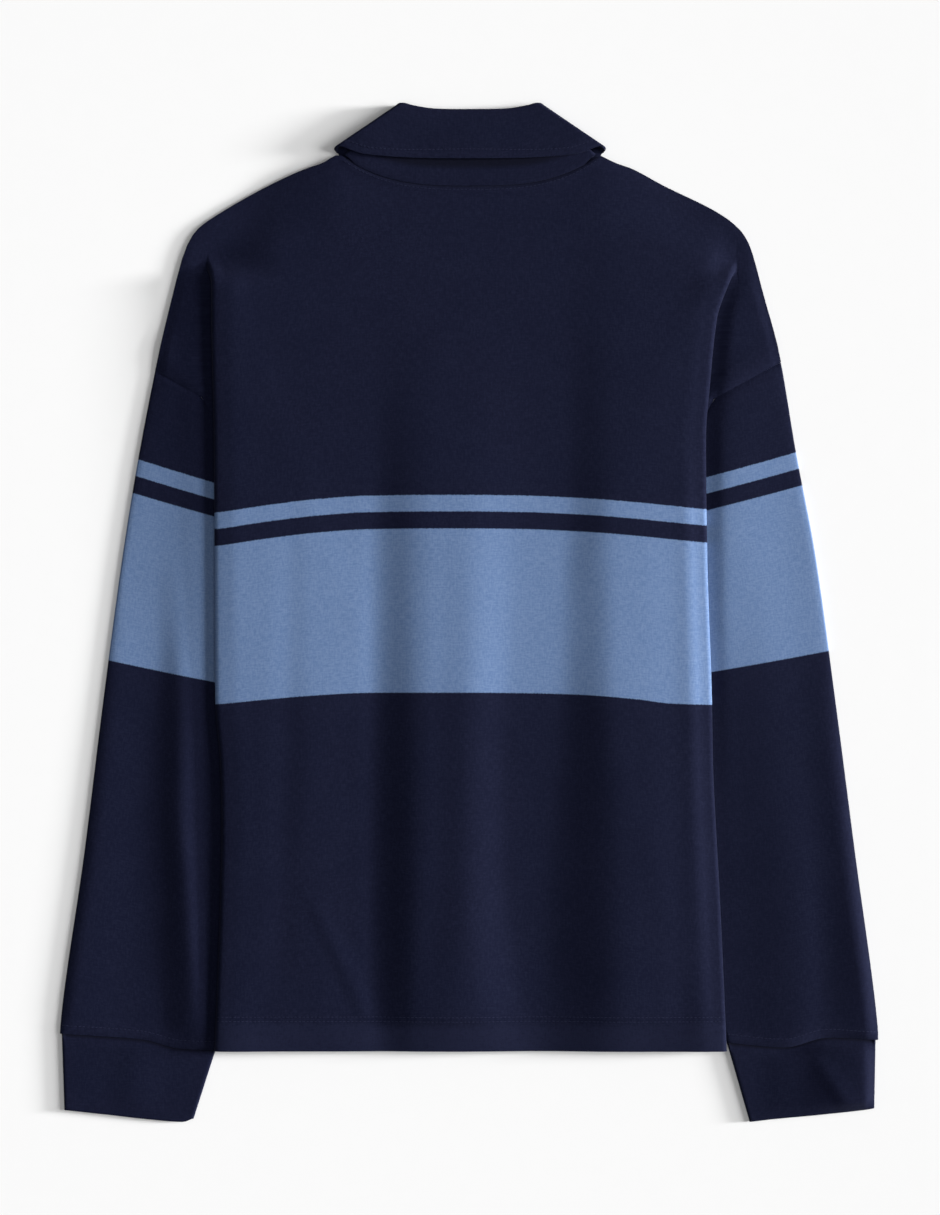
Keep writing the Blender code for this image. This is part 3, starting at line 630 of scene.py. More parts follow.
def seamPoint(points, share):
    bend = tube["bendShare"]
    first = np.stack([mix(points[0][k], points[1][k], share / bend) for k in (0, 1)], -1)
    second = (share - bend) / (1 - bend)
    second = np.stack([mix(points[1][k], points[2][k], second) for k in (0, 1)], -1)
    return np.where((share <= bend)[..., None], first, second)


def tubePlan(outer, inner, first, last, stage, shares):
    ends = [mix(line[0], line[-1], shares[:, None]) for line in (first, last)]
    plan = mix(np.array(outer), np.array(inner), shares[:, None])
    return plan + (1 - stage) * (first - ends[0]) + stage * (last - ends[1])


def tubeRing(plan, wall, hollow, lift):
    radius = (wall + hollow) / 2
    middle = radius + wall / 2
    inward = (plan[1] - plan[0]) / np.linalg.norm(plan[1] - plan[0])
    outward = (plan[-1] - plan[-2]) / np.linalg.norm(plan[-1] - plan[-2])
    line = plan.copy()
    line[0], line[-1] = plan[0] + inward * middle, plan[-1] - outward * middle
    turns = np.pi * np.arange(1, tube["rollColumns"]) / tube["rollColumns"]
    upper = np.column_stack([line, middle + radius + lift(line)])
    lower = np.column_stack([line[::-1], np.full(len(line), middle - radius)])
    rollEnd = np.column_stack(
        [line[-1] + np.outer(np.sin(turns), outward) * radius, middle + radius * np.cos(turns)]
    )
    rollStart = np.column_stack(
        [line[0] - np.outer(np.sin(turns), inward) * radius, middle - radius * np.cos(turns)]
    )
    return np.concatenate([upper, rollEnd, lower, rollStart])


# Distances along the cloth from its first column
def lengthAcross(grid):
    steps = np.linalg.norm(np.diff(grid, axis=1), axis=2)
    return np.concatenate([np.zeros((len(grid), 1)), np.cumsum(steps, axis=1)], axis=1)


def sleeveGrid(side):
    start = [
        (a + da, y + dy) for (a, y), (da, dy) in zip(armholeLine(side), tube["seamShift"])
    ]
    seam = cuffSeam[side]
    shares = np.linspace(0, 1, tube["columns"])
    first, last = seamPoint(start, shares), alongLine(seam, shares)
    rings = []
    for stage in np.linspace(0, 1, tube["sleeveRows"] + 1):
        outerY = mix(start[0][1], seam[0][1], stage)
        outer = (float(readTable(outline, side, outerY)), outerY) if stage else start[0]
        plan = tubePlan(outer, mixPoint(start[-1], seam[-1], stage), first, last, stage, shares)

        def lift(line):
            a, y = line[:, 0], line[:, 1]
            clear = smooth(a - edgeX(side, y), 1, 9) * smooth(outer[0] - a, 0, 7)
            clear = clear * smooth(armhole[side]["bend"][1] - y, 0, 60)
            creases = creaseLift(sleeveRidges[side], sides[side] * a, y)
            wave = tube["wave"] * unevenness(sides[side] * a * tube["waveShrink"], y)
            wave = wave + tube["rise"]
            lengths = np.linalg.norm(last - first, axis=1)
            toCuff, fromSeam = (1 - stage) * lengths, stage * lengths
            ridge = tube["seamRidge"] * bulge(toCuff, 3.4, 2.5)
            ridge = ridge - tube["seamFall"] * (1 - smooth(fromSeam, 0, 7))
            folds = (creases + wave) * clear + swellLift(side, a, y)
            return folds * smooth(toCuff, 0, 9) + ridge

        rings.append(tubeRing(plan, cloth["jerseyWall"], halfPitch * 2 - cloth["jerseyWall"], lift))
    rings = np.array(rings)
    across, a, y = lengthAcross(rings), rings[:, :, 0], rings[:, :, 1]
    line, (middleX, middleY) = sleeveStripes[side], sleeveStripes["middle"]
    up = np.clip((y - sleeveStripes["slantFrom"]) / sleeveStripes["slantReach"], 0, 1.2)
    along = y - mix(line["low"], line["high"], up) * (a - middleX)
    along = along - line["moved"] - line["drawn"] * (along - middleY)
    rings[:, :, 0] *= sides[side]
    stages = np.linspace(0, 1, len(rings))[:, None]
    # painted light on the sleeve's end beside the cuff seam
    paintedTone = paintedLightAndShade["sleeveEnd"] * smooth(stages, 0.975, 0.988)
    return rings, np.stack([across, along, paintedTone + 0 * across], axis=2)


def cuffGrid(side):
    seam = [(a, y + tube["cuffShift"]) for a, y in cuffSeam[side]]
    end = cuffEnd[side]
    shares = np.linspace(0, 1, tube["columns"])
    first, last = alongLine(seam, shares), alongLine(end, shares)
    rings = []
    for stage in np.linspace(0, 1, tube["cuffRows"] + 1):
        outer, inner = mixPoint(seam[0], end[0], stage), mixPoint(seam[-1], end[-1], stage)
        plan = tubePlan(outer, inner, first, last, stage, shares)

        def lift(line):
            a, y = line[:, 0], line[:, 1]
            clear = smooth(abs(a - inner[0]), 0, 12) * smooth(abs(outer[0] - a), 0, 7)
            creases = creaseLift(cuffRidges[side], sides[side] * a, y)
            fall = tube["cuffFall"] * (1 - smooth(stage, 0, 0.1))
            return creases * clear * (1 - smooth(stage, 0.85, 1.0)) * smooth(stage, 0, 0.2) - fall

        rings.append(tubeRing(plan, cloth["cuffWall"], tube["cuffHollow"], lift))
    rings = np.array(rings)
    across = lengthAcross(rings)
    rings[:, :, 0] *= sides[side]
    stages = np.linspace(0, 1, len(rings))[:, None]
    # painted shade in the crevice of the cuff seam
    paintedShade = paintedLightAndShade["cuff"] * (1 - smooth(stages, 0, 0.05))
    return rings, np.stack([across, rings[:, :, 1], 0 * across - paintedShade], axis=2)


# Collar: a deep band that stands on the neckline, flattened sideways, and a turned-down leaf
collar = {
    "rise": 4.2,
    "halfGap": 1.3,
    "peakHalf": 53.0,
    "rollY": 388.5,
    "backRollDrop": 3.3,
    "frontRollDrop": 97.0,
    "leafSide": (101.3, 350.5),
    "leafBackY": (356.0, 349.5),
    "leafPoint": (50.0, 226.0),
    "leafGap": 3.0,
    "standTop": 0.84,
    "leafSeam": 0.03,
    "clear": 0.7,  # between the band and the ends of the neckline
    "neckGap": (0.4, -0.35),  # from the seam, in front and behind
    "frontOpening": 0.006,
    "sideFrom": 0.985,  # share of the half width where the band starts to turn round
    "frontStations": 26,
    "backStations": 34,
    "sideStations": 12,
    "rollRows": 10,
    "leafRows": 16,
    "standRows": 12,
    "belly": 0.9,  # the leaf bellies out a little and its edge settles towards the cloth
    "edgeFall": 0.5,
    "wave": 0.22,
}
collarMiddle = restHeight + collar["rise"]
standHalf = neck["half"] - collar["halfGap"] - cloth["collarWall"] / 2 - collar["clear"]


def collarStations():
    front = -np.linspace(collar["frontOpening"], collar["sideFrom"], collar["frontStations"])
    turns = np.linspace(0, np.pi, collar["sideStations"] + 1)
    backOut = -np.linspace(collar["sideFrom"], 0, collar["backStations"])
    g = np.concatenate([front, -np.ones(len(turns)), backOut])
    outX = np.concatenate([0 * front, -np.sin(turns), 0 * backOut])
    outZ = np.concatenate([0 * front - 1, -np.cos(turns), 0 * backOut + 1])
    share = np.concatenate([0 * front, turns / np.pi, 0 * backOut + 1])
    half = np.stack([g, outX, outZ, share], axis=1)
    other = half[-2::-1] * np.array([-1, -1, 1, 1])
    return np.concatenate([half, other])


def sideNormal():
    acrossX, acrossY = standHalf - collar["peakHalf"], collar["rollY"] - neck["y"]
    length = math.hypot(acrossX, acrossY)
    return acrossY / length, acrossX / length


def standPoints(stations, height, out=0.0):
    g, outX, outZ, backShare = stations.T
    half = mix(standHalf, collar["peakHalf"], height)
    sideX, sideY = sideNormal()
    curve = mix((abs(g) * half / neck["half"]) ** 3, abs(g) ** 3, height)
    dip = (1 - curve) * (1 - mix(smooth(abs(g), 0.93, 1), smooth(abs(g), 0.86, 1), height))
    atNeck = mix(neck["frontDrop"], neck["backDrop"], backShare)
    drop = mix(atNeck, mix(collar["frontRollDrop"], collar["backRollDrop"], backShare), height)
    gap = mix(*collar["neckGap"], backShare) * (1 - height)
    reach = collar["halfGap"] + out
    up = mix(abs(outX), 0.65 * smooth(abs(g), 0.5, 1), height) * sideY * reach
    y = mix(neck["y"], collar["rollY"], height) - drop * dip + gap + up
    return np.stack([g * half + outX * sideX * reach, y, collarMiddle + outZ * reach], axis=1)


def rollDirections(stations):
    g, _, _, backShare = stations.T
    total = 0
    for drop, share in (
        (collar["frontRollDrop"], 1 - backShare), (collar["backRollDrop"], backShare)
    ):
        square = np.stack([-3 * drop * g * abs(g), np.full(len(g), collar["peakHalf"])], axis=1)
        total = total + share[:, None] * square / np.linalg.norm(square, axis=1, keepdims=True)
    return total / np.linalg.norm(total, axis=1, keepdims=True)


def leafEdge(stations):
    g, outX, outZ, backShare = stations.T
    size = abs(g)
    backY = mix(collar["leafBackY"][1], collar["leafBackY"][0], size**3)
    frontY = mix(collar["leafPoint"][1], collar["leafSide"][1], size**1.2)
    frontHalf = mix(collar["leafPoint"][0], collar["leafSide"][0], size)
    half = mix(frontHalf, collar["leafSide"][0] * size, backShare)
    reach = collar["halfGap"] + collar["leafGap"]
    sideX, sideY = sideNormal()
    x = np.sign(g) * half + outX * sideX * reach
    y = mix(frontY, backY, backShare) + smooth(size, 0.8, 1) * sideY * reach
    return np.stack([x, y, collarMiddle + outZ * reach], axis=1)


def collarPlace(grid, leaf):
    across, down = lengthAcross(grid), lengthAcross(grid.transpose(1, 0, 2)).T
    across = across - across[:, -1:] / 2
    if leaf:
        # painted light along the leaf's edge
        tone = paintedLightAndShade["leafEdge"] * (1 - smooth(down[-1:] - down, 6, 9))
    else:
        # painted shadow of the leaf's edge on the band below it
        tone = -paintedLightAndShade["paintedLeafShadow"] * smooth(down, 12, 17)
    return np.stack([across, down, tone], axis=2)


def standGrid():
    stations = collarStations()
    heights = np.linspace(0, collar["standTop"], collar["standRows"] + 1)
    return np.array([standPoints(stations, h) for h in heights])


def leafGrid():
    stations = collarStations()
    rows = [
        standPoints(stations, h)
        for h in np.linspace(collar["standTop"] + collar["leafSeam"], 1, 5)
    ]
    directions = rollDirections(stations)
    gap = collar["leafGap"]
    for turn in np.linspace(0, np.pi, collar["rollRows"] + 1)[1:-1]:
        row = standPoints(stations, 1.0, gap / 2 * (1 - np.cos(turn)))
        row[:, :2] += gap / 2 * np.sin(turn) * directions
        rows.append(row)
    top, edge = standPoints(stations, 1.0, gap), leafEdge(stations)
    outZ = stations[:, 2]
    for share in np.linspace(0, 1, collar["leafRows"] + 1):
        row = mix(top, edge, share)
        belly = collar["belly"] * np.sin(np.pi * share**0.8)
        belly = belly - collar["edgeFall"] * smooth(share, 0.75, 1)
        wave = collar["wave"] * np.sin(row[:, 0] / 14 + 1.1) * smooth(share, 0.1, 0.7)
        row[:, 2] += (belly + wave) * np.maximum(outZ, 0)
        rows.append(row)
    return np.array(rows)


placket = {
    "overHalf": 16.0,
    "underHalf": 13.6,
    "overFoot": 86.0,
    "underFoot": 94.0,
    "top": 0.6,  # below the neckline
    "rows": 40,
    "columns": 12,
    "stitchInset": 1.6,
    "stitchLift": 0.12,
    "stitchTop": 250.0,
    "boxLow": 2.0,  # the stitched box at the foot, from the strip's end
    "boxHigh": 24.0,
}


def stripGrid(half, foot, level):
    x = np.linspace(-half, half, placket["columns"] + 1)[None, :]
    share = np.linspace(0, 1, placket["rows"] + 1)[:, None]
    y = mix(neckline(abs(x), neck["frontDrop"]) - placket["top"], foot, share)
    z = mainHeight("left", 0 * x, y) - collar["halfGap"] - level
    points = np.stack([x + 0 * y, y, z + 0 * x], axis=2)
    return points, points * np.array([1, 1, 0])


# Materials. The knit reads clothPlace, the place on the flat cloth in millimetres, and its third value
# of painted light and shade.
knit = {
    "navy": (0.0041, 0.0054, 0.0192),
    # lighter navy of worn yarn, also used for painted light
    "navyWornAndPaintedLight": (0.0082, 0.0102, 0.0288),
    "blue": (0.097, 0.160, 0.305),
    "blueStreak": (0.140, 0.210, 0.362),
    # the dark colour of painted shade in seams and under the leaf
    "paintedShade": (0.0010, 0.0013, 0.0040),
    "wale": 0.95,  # width of one column of loops
    "course": 0.80,  # height of one loop
    "bump": 0.35,
    "bumpDepth": 0.00016,
    "navyShift": -2.65,  # higher shows more of the lighter navy of worn yarn and painted light, or of the streaks in the blue
    "blueShift": -2.95,
    "roughness": 0.88,
    "sheen": 0.03,
}
stripes = {"low": -61.1, "wideTop": 64.8, "thinLow": 77.9, "thinTop": 90.5, "soft": 0.45}


class Nodes:
    def __init__(self, tree):
        self.tree = tree

    # Inputs are given by name, with i0, i1 ... for those that have no name of their own.
    def add(self, kind, settings=None, **inputs):
        node = self.tree.nodes.new(kind)
        for key, value in (settings or {}).items():
            setattr(node, key, value)
        for key, value in inputs.items():
            self.give(node.inputs[int(key[1:]) if key[1:].isdigit() else key], value)
        return node

    def give(self, socket, value):
        if isinstance(value, bpy.types.NodeSocket):
            self.tree.links.new(value, socket)
        else:
            socket.default_value = value

    def math(self, operation, a, b=0.0, c=0.0):
        return self.add("ShaderNodeMath", {"operation": operation}, i0=a, i1=b, i2=c).outputs[0]

    def total(self, start, *parts):
        for value, weight in parts:
            start = self.math("MULTIPLY_ADD", value, weight, start)
        return start

    def noise(self, vector, scale, detail=2.0, rough=0.5):
        node = self.add(
            "ShaderNodeTexNoise", Vector=vector, Scale=scale, Detail=detail, Roughness=rough
        )
        return node.outputs["Fac"]

    def stretched(self, vector, factors, detail, rough=0.5):
        scaled = self.add("ShaderNodeMapping", Vector=vector, Scale=factors).outputs[0]
        return self.noise(scaled, 1.0, detail, rough)

    def mixColour(self, share, a, b):
        a, b = (v if isinstance(v, bpy.types.NodeSocket) else (*v, 1) for v in (a, b))
        return self.add("ShaderNodeMix", {"data_type": "RGBA"}, i0=share, i6=a, i7=b).outputs[2]

    def bump(self, height, strength, distance):
        return self.add(
            "ShaderNodeBump", Strength=strength, Distance=distance, Height=height
        ).outputs[0]


# A new material from a function that makes its nodes and says what the shader gets
def newMaterial(name, look, **values):
    material = bpy.data.materials.new(name)
    material.use_nodes = True
    nodes = Nodes(material.node_tree)
    shader = nodes.tree.nodes["Principled BSDF"]
    for key, value in look(nodes, **values).items():
        nodes.give(shader.inputs[key], value)
    return material


def knitLook(n, striped=False, waleSize=1.0, tone=1.0):
    place = n.add("ShaderNodeAttribute", {"attribute_name": "clothPlace"}).outputs["Vector"]
    u, v, paintedTone = n.add("ShaderNodeSeparateXYZ", i0=place).outputs
    # loops: each column of the knit is a row of small V shapes
    column = n.math("MULTIPLY", u, 1 / (knit["wale"] * waleSize))
    side = n.math("PINGPONG", column, 0.5)
    course = n.math("MULTIPLY_ADD", v, 2 * math.pi / (knit["course"] * waleSize), 0.0)
    leg = n.math("SINE", n.math("MULTIPLY_ADD", side, 2 * math.pi, course))
    roundness = n.math("SINE", n.math("MULTIPLY", side, 2 * math.pi))
    fuzz = n.noise(place, 1.6, 2.0, 0.6)
    height = n.total(fuzz, (roundness, 0.5), (leg, 0.28))
    # colour: worn yarn, mottled dye and lighter fluff on the loops, with painted light and painted
    # shade from clothPlace's third value
    mottle = n.stretched(place, (0.035, 0.035, 0.035), 3.0, 0.55)
    yarn = n.stretched(place, (0.9, 0.30, 1), 2.0, 0.6)
    lying = n.stretched(place, (0.22, 0.85, 0), 2.0, 0.7)
    standing = n.stretched(place, (0.75, 0.20, 0), 2.0, 0.7)
    heather = n.math("ADD", lying, standing)
    # worn yarn and heather, plus painted light where the third value of clothPlace is above nothing
    wearAndPaintedLight = n.total(
        knit["navyShift"], (mottle, 0.6), (yarn, 0.7), (leg, 0.05), (heather, 2.3), (paintedTone, 0.5)
    )
    navy, navyWornAndPaintedLight = (tuple(tone * c for c in knit[key]) for key in ("navy", "navyWornAndPaintedLight"))
    colour = n.mixColour(wearAndPaintedLight, navy, navyWornAndPaintedLight)
    if striped:
        streak = n.stretched(place, (0.10, 1.3, 1), 3.0, 0.65)
        fleck = n.total(
            knit["blueShift"], (mottle, 0.5), (streak, 1.4), (heather, 2.5), (leg, 0.04)
        )
        blue = n.mixColour(fleck, knit["blue"], knit["blueStreak"])
        jagged = n.stretched(place, (0.8, 0.8, 1), 1.0)
        at = n.math("ADD", v, n.math("MULTIPLY_ADD", jagged, 1.2, -0.6))
        steps = [
            n.add(
                "ShaderNodeMapRange", {"interpolation_type": "SMOOTHSTEP"},
                i0=at, i1=stripes[key] - stripes["soft"], i2=stripes[key] + stripes["soft"],
            ).outputs[0]
            for key in ("low", "wideTop", "thinLow", "thinTop")
        ]
        wide = n.math("SUBTRACT", steps[0], steps[1])
        thin = n.math("SUBTRACT", steps[2], steps[3])
        colour = n.mixColour(n.math("ADD", wide, thin), colour, blue)
    return {
        # painted shade: where the third value of clothPlace is below nothing, the cloth darkens towards
        # the painted shade colour
        "Base Color": n.mixColour(n.math("MULTIPLY", paintedTone, -1.0), colour, knit["paintedShade"]),
        "Normal": n.bump(height, knit["bump"], knit["bumpDepth"]),
        "Roughness": n.math("MULTIPLY_ADD", fuzz, 0.12, knit["roughness"] - 0.06),
        "Specular IOR Level": 0.08,
        "Sheen Weight": knit["sheen"],
        "Sheen Roughness": 0.45,
        "Sheen Tint": (0.62, 0.68, 0.9, 1),
    }


def threadLook(n, colour):
    place = n.add("ShaderNodeTexCoord").outputs["Object"]
    twist = n.add(
        "ShaderNodeTexWave", {"bands_direction": "DIAGONAL"}, Vector=place, Scale=900
    ).outputs["Fac"]
    return {
        "Base Color": n.mixColour(twist, colour, tuple(1.6 * c for c in colour)),
        "Normal": n.bump(twist, 0.4, 0.0001),
        "Roughness": 0.75,
        "Specular IOR Level": 0.12,
    }


def plasticLook(n):
    place = n.add("ShaderNodeTexCoord").outputs["Object"]
    cloud = n.noise(place, 160, 3.0, 0.6)
    scratch = n.stretched(place, (900, 120, 300), 2.0)
    return {
        "Base Color": n.mixColour(cloud, (0.012, 0.013, 0.022), (0.030, 0.032, 0.048)),
        "Roughness": n.math("MULTIPLY_ADD", scratch, 0.2, 0.22),
        "Coat Weight": 0.3,
    }


jersey = newMaterial("striped jersey", knitLook, striped=True)
plainJersey = newMaterial("plain navy jersey", knitLook)
cuffCloth = newMaterial("cuff jersey", knitLook, waleSize=0.9, tone=0.97)
collarCloth = newMaterial("collar jersey", knitLook, waleSize=0.9, tone=0.96)
thread = newMaterial("navy thread", threadLook, colour=(0.0110, 0.0132, 0.0330))
plastic = newMaterial("dark button plastic", plasticLook)
print("stage: materials are ready")

back = panel(neck["backDrop"], 1)
front = panel(neck["frontDrop"], -1)
backPiece = makeBody("back_cloth", back, jersey, False)
frontPiece = makeBody("front_cloth", front, jersey, True)
sleevePieces, cuffPieces = {}, {}
for side in sides:
    points, place = sleeveGrid(side)
    sleevePieces[side] = makeCloth(
        f"sleeve_cloth_{side}", points, place, cloth["jerseyWall"], jersey, ring=True
    )
    points, place = cuffGrid(side)
    cuffPieces[side] = makeCloth(
        f"cuff_band_{side}", points, place, cloth["cuffWall"], cuffCloth, ring=True
    )
points = standGrid()
place = collarPlace(points, False)
standPiece = makeCloth("collar_band", points, place, cloth["collarWall"], collarCloth)
points = leafGrid()
place = collarPlace(points, True)
leafPiece = makeCloth("collar_fall", points, place, cloth["collarWall"], collarCloth)
level = (cloth["jerseyWall"] + cloth["stripWall"]) / 2 + cloth["seamGap"]
points, place = stripGrid(placket["underHalf"], placket["underFoot"], 0)
underPiece = makeCloth("placket_inner", points, place, cloth["stripWall"], plainJersey)
points, place = stripGrid(placket["overHalf"], placket["overFoot"], level)
overPiece = makeCloth("placket_outer", points, place, cloth["stripWall"], plainJersey)
print("stage: cloth pieces are made")

# Stitches: small grains of thread along a line that lies on the cloth
stitching = {
    "length": 2.5,
    "spacing": 3.1,
    "width": 0.42,
    "unevenness": 0.12,
    "seed": 7,
}
stitchRows = {
    "lift": 0.08,
    "hem": (-0.4, 3.0),  # two rows along the end of the turned cloth
    "neck": 3.2,
    "leafEdge": 7.0,
    "sleeveEnd": 6.5,
    "underSleeve": -0.2,  # nothing sinks into the floor
}


def stitchTree():
    tree = bpy.data.node_groups.new("stitches along a line", "GeometryNodeTree")
    for name, kind in (
        ("Line", "Geometry"), ("Length", "Float"), ("Spacing", "Float"), ("Width", "Float"),
        ("Unevenness", "Float"), ("Seed", "Int"), ("Thread", "Material"),
    ):
        tree.interface.new_socket(name, in_out="INPUT", socket_type=f"NodeSocket{kind}")
    tree.interface.new_socket("Stitches", in_out="OUTPUT", socket_type="NodeSocketGeometry")
    n = Nodes(tree)
    given = n.add("NodeGroupInput").outputs
    points = n.add(
        "GeometryNodeResampleCurve", {"mode": "LENGTH"},
        Curve=given["Line"], Length=given["Spacing"],
    ).outputs[0]
    grain = n.add("GeometryNodeMeshUVSphere", Segments=6, Rings=5, Radius=0.5).outputs["Mesh"]
    tangent = n.add("GeometryNodeInputTangent").outputs[0]
    turn = n.add("FunctionNodeAlignRotationToVector", {"axis": "X"}, Vector=tangent).outputs[0]
    least, most = (n.math(way, 1.0, given["Unevenness"]) for way in ("SUBTRACT", "ADD"))
    vary = n.add(
        "FunctionNodeRandomValue", {"data_type": "FLOAT"}, i2=least, i3=most, Seed=given["Seed"]
    ).outputs[1]
    long, wide = n.math("MULTIPLY", given["Length"], vary), given["Width"]
    size = n.add("ShaderNodeCombineXYZ", X=long, Y=wide, Z=wide).outputs[0]
    grains = n.add(
        "GeometryNodeInstanceOnPoints", Points=points, Instance=grain, Rotation=turn, Scale=size
    ).outputs[0]
    whole = n.add("GeometryNodeRealizeInstances", Geometry=grains).outputs[0]
    finished = n.add("GeometryNodeSetMaterial", Geometry=whole, Material=given["Thread"])
    n.add("NodeGroupOutput", Stitches=finished.outputs[0])
    return tree


stitchNodes = stitchTree()


# Where a vertical line meets the cloth, from above for sign 1 and from below for sign -1
def onCloth(piece, line, sign, lift):
    depsgraph = bpy.context.evaluated_depsgraph_get()
    surface = BVHTree.FromObject(piece, depsgraph)
    points = []
    for x, y in line:
        start = Vector((x * mm, y * mm, sign * 0.2))
        hit = surface.ray_cast(start, Vector((0, 0, -sign)))[0]
        if hit:
            points.append(hit + Vector((0, 0, sign * lift * mm)))
    return points


def addStitches(name, lines, **changes):
    values = {**stitching, **changes}
    curve = bpy.data.curves.new(name, "CURVE")
    curve.dimensions = "3D"
    for line in lines:
        if len(line) < 2:
            continue
        spline = curve.splines.new("POLY")
        spline.points.add(len(line) - 1)
        for point, place in zip(spline.points, line):
            point.co = (*place, 1)
    source = bpy.data.objects.new(f"{name}_line", curve)
    bpy.context.scene.collection.objects.link(source)
    maker = source.modifiers.new("stitches", "NODES")
    maker.node_group = stitchNodes
    sockets = {
        item.name: item.identifier
        for item in stitchNodes.interface.items_tree
        if item.in_out == "INPUT"
    }
    for key in ("Length", "Spacing", "Width"):
        maker[sockets[key]] = values[key.lower()] * mm
    maker[sockets["Unevenness"]] = values["unevenness"]
    maker[sockets["Seed"]] = values["seed"]
    maker[sockets["Thread"]] = thread
    depsgraph = bpy.context.evaluated_depsgraph_get()
    mesh = bpy.data.meshes.new_from_object(source.evaluated_get(depsgraph), depsgraph=depsgraph)
    mesh.name = name
    piece = bpy.data.objects.new(name, mesh)
    bpy.context.scene.collection.objects.link(piece)
    bpy.data.objects.remove(source)
    piece.data.shade_smooth()
    return piece


def pathBetween(a, b, count):
    share = np.linspace(0, 1, count)
    return np.stack([mix(a[0], b[0], share), mix(a[1], b[1], share)], axis=1)


def hemLine(height):
    left, right = float(edgeX("left", height)), float(edgeX("right", height))
    return pathBetween((-left + 2, height), (right - 2, height), 160)


def neckStitchLine(offset, drop):
    x = np.linspace(-neck["half"] + 2, neck["half"] - 2, 90)
    return np.stack([x, neckline(abs(x), drop) - offset], axis=1)


# The row of the leaf's own grid that lies a fixed way in from its edge
def leafLines(sign, inset):
    stations = collarStations()
    pick = stations[:, 2] * sign > 0.9
    edge = leafEdge(stations)[:, :2]
    top = standPoints(stations, 1.0, collar["leafGap"])[:, :2]
    inward = (top - edge) / np.linalg.norm(top - edge, axis=1, keepdims=True)
    line = (edge + inset * inward)[pick]
    if sign > 0:
        return [line]
    middle = int(np.argmax(abs(np.diff(line[:, 0]))))  # the gap between the two points
    return [line[: middle + 1], line[middle + 1 :]]


def cuffLine(side, offset):
    line = alongLine(cuffSeam[side], np.linspace(0.01, 0.99, 50))
    return np.stack([sides[side] * line[:, 0], line[:, 1] + offset], axis=1)


def stitchesOn(name, *rows):
    return addStitches(name, [onCloth(*row) for row in rows])


def panelStitches(name, piece, sign, drop):
    lines = [hemLine(hemEnd + row) for row in stitchRows["hem"]]
    lines.append(neckStitchLine(stitchRows["neck"], drop))
    return stitchesOn(name, *((piece, line, sign, stitchRows["lift"]) for line in lines))


backStitches = panelStitches("back_stitches", backPiece, 1, neck["backDrop"])
frontStitches = panelStitches("front_stitches", frontPiece, -1, neck["frontDrop"])
leafStitches = stitchesOn(
    "collar_stitches",
    *(
        (leafPiece, line, sign, stitchRows["lift"])
        for sign in (1, -1) for line in leafLines(sign, stitchRows["leafEdge"])
    ),
)
sleeveStitches = {}
for side in sides:
    line = cuffLine(side, stitchRows["sleeveEnd"])
    sleeveStitches[side] = stitchesOn(
        f"sleeve_stitches_{side}",
        (sleevePieces[side], line, 1, stitchRows["lift"]),
        (sleevePieces[side], line, -1, stitchRows["underSleeve"]),
    )
print("stage: stitches are laid")

# Buttons with a rim and four thread holes, on the hidden placket
button = {
    "radius": 5.7,
    "thick": 1.9,
    "rim": 1.3,
    "dish": 0.35,
    "holeRadius": 0.75,
    "holeAt": 1.45,
    "topY": 242.0,
    "spacing": 52.0,
    "count": 3,
    "lift": 0.15,
    "corners": 56,
    "holeCorners": 16,
    "holeEnds": (-2.0, 5.0),  # the pins that cut the holes reach past both faces
    "threadShifts": (-0.25, 0.0, 0.25),
}


def circle(radius, count, x, y, z):
    turns = [2 * math.pi * k / count for k in range(count)]
    return [(x + radius * math.cos(t), y + radius * math.sin(t), z) for t in turns]


def meshOf(name, points, faces):
    mesh = bpy.data.meshes.new(name)
    mesh.from_pydata([tuple(v * mm for v in point) for point in points], [], faces)
    mesh.update()
    return mesh


def buttonMesh(name, y):
    r, rim, count = button["radius"], button["rim"], button["corners"]
    low, top = button["lift"], button["thick"] + button["lift"]
    # profile from the middle of the upper face round the rim to the middle of the lower face
    profile = [
        (0, top), (r - 0.6, top), (r - 0.2, top - 0.12), (r, top - 0.5), (r, low + 0.6),
        (r - 0.15, low + 0.2), (r - 0.55, low), (r - rim + 0.35, low),
        (r - rim, low + 0.12), (r - rim - 0.4, low + button["dish"]), (0, low + button["dish"]),
    ]
    points = [(0, y, profile[0][1])]
    for radius, z in profile[1:-1]:
        points += circle(radius, count, 0, y, z)
    points.append((0, y, profile[-1][1]))
    faces = [(0, 1 + k, 1 + (k + 1) % count) for k in range(count)]
    for ring in range(len(profile) - 3):
        base = 1 + ring * count
        for k in range(count):
            j = (k + 1) % count
            faces.append((base + k, base + count + k, base + count + j, base + j))
    base, last = 1 + (len(profile) - 3) * count, len(points) - 1
    faces += [(base + k, last, base + (k + 1) % count) for k in range(count)]
    return meshOf(name, points, faces)


def holePins(y):
    points, faces, count = [], [], button["holeCorners"]
    for k in range(4):
        turn = math.pi / 4 + k * math.pi / 2
        x0, y0 = button["holeAt"] * math.cos(turn), button["holeAt"] * math.sin(turn)
        base = len(points)
        for z in button["holeEnds"]:
            points += circle(button["holeRadius"], count, x0, y + y0, z)
        faces.append([base + j for j in range(count)][::-1])
        faces.append([base + count + j for j in range(count)])
        for j in range(count):
            after = (j + 1) % count
            faces.append([base + j, base + after, base + count + after, base + count + j])
    return meshOf("pins", points, faces)


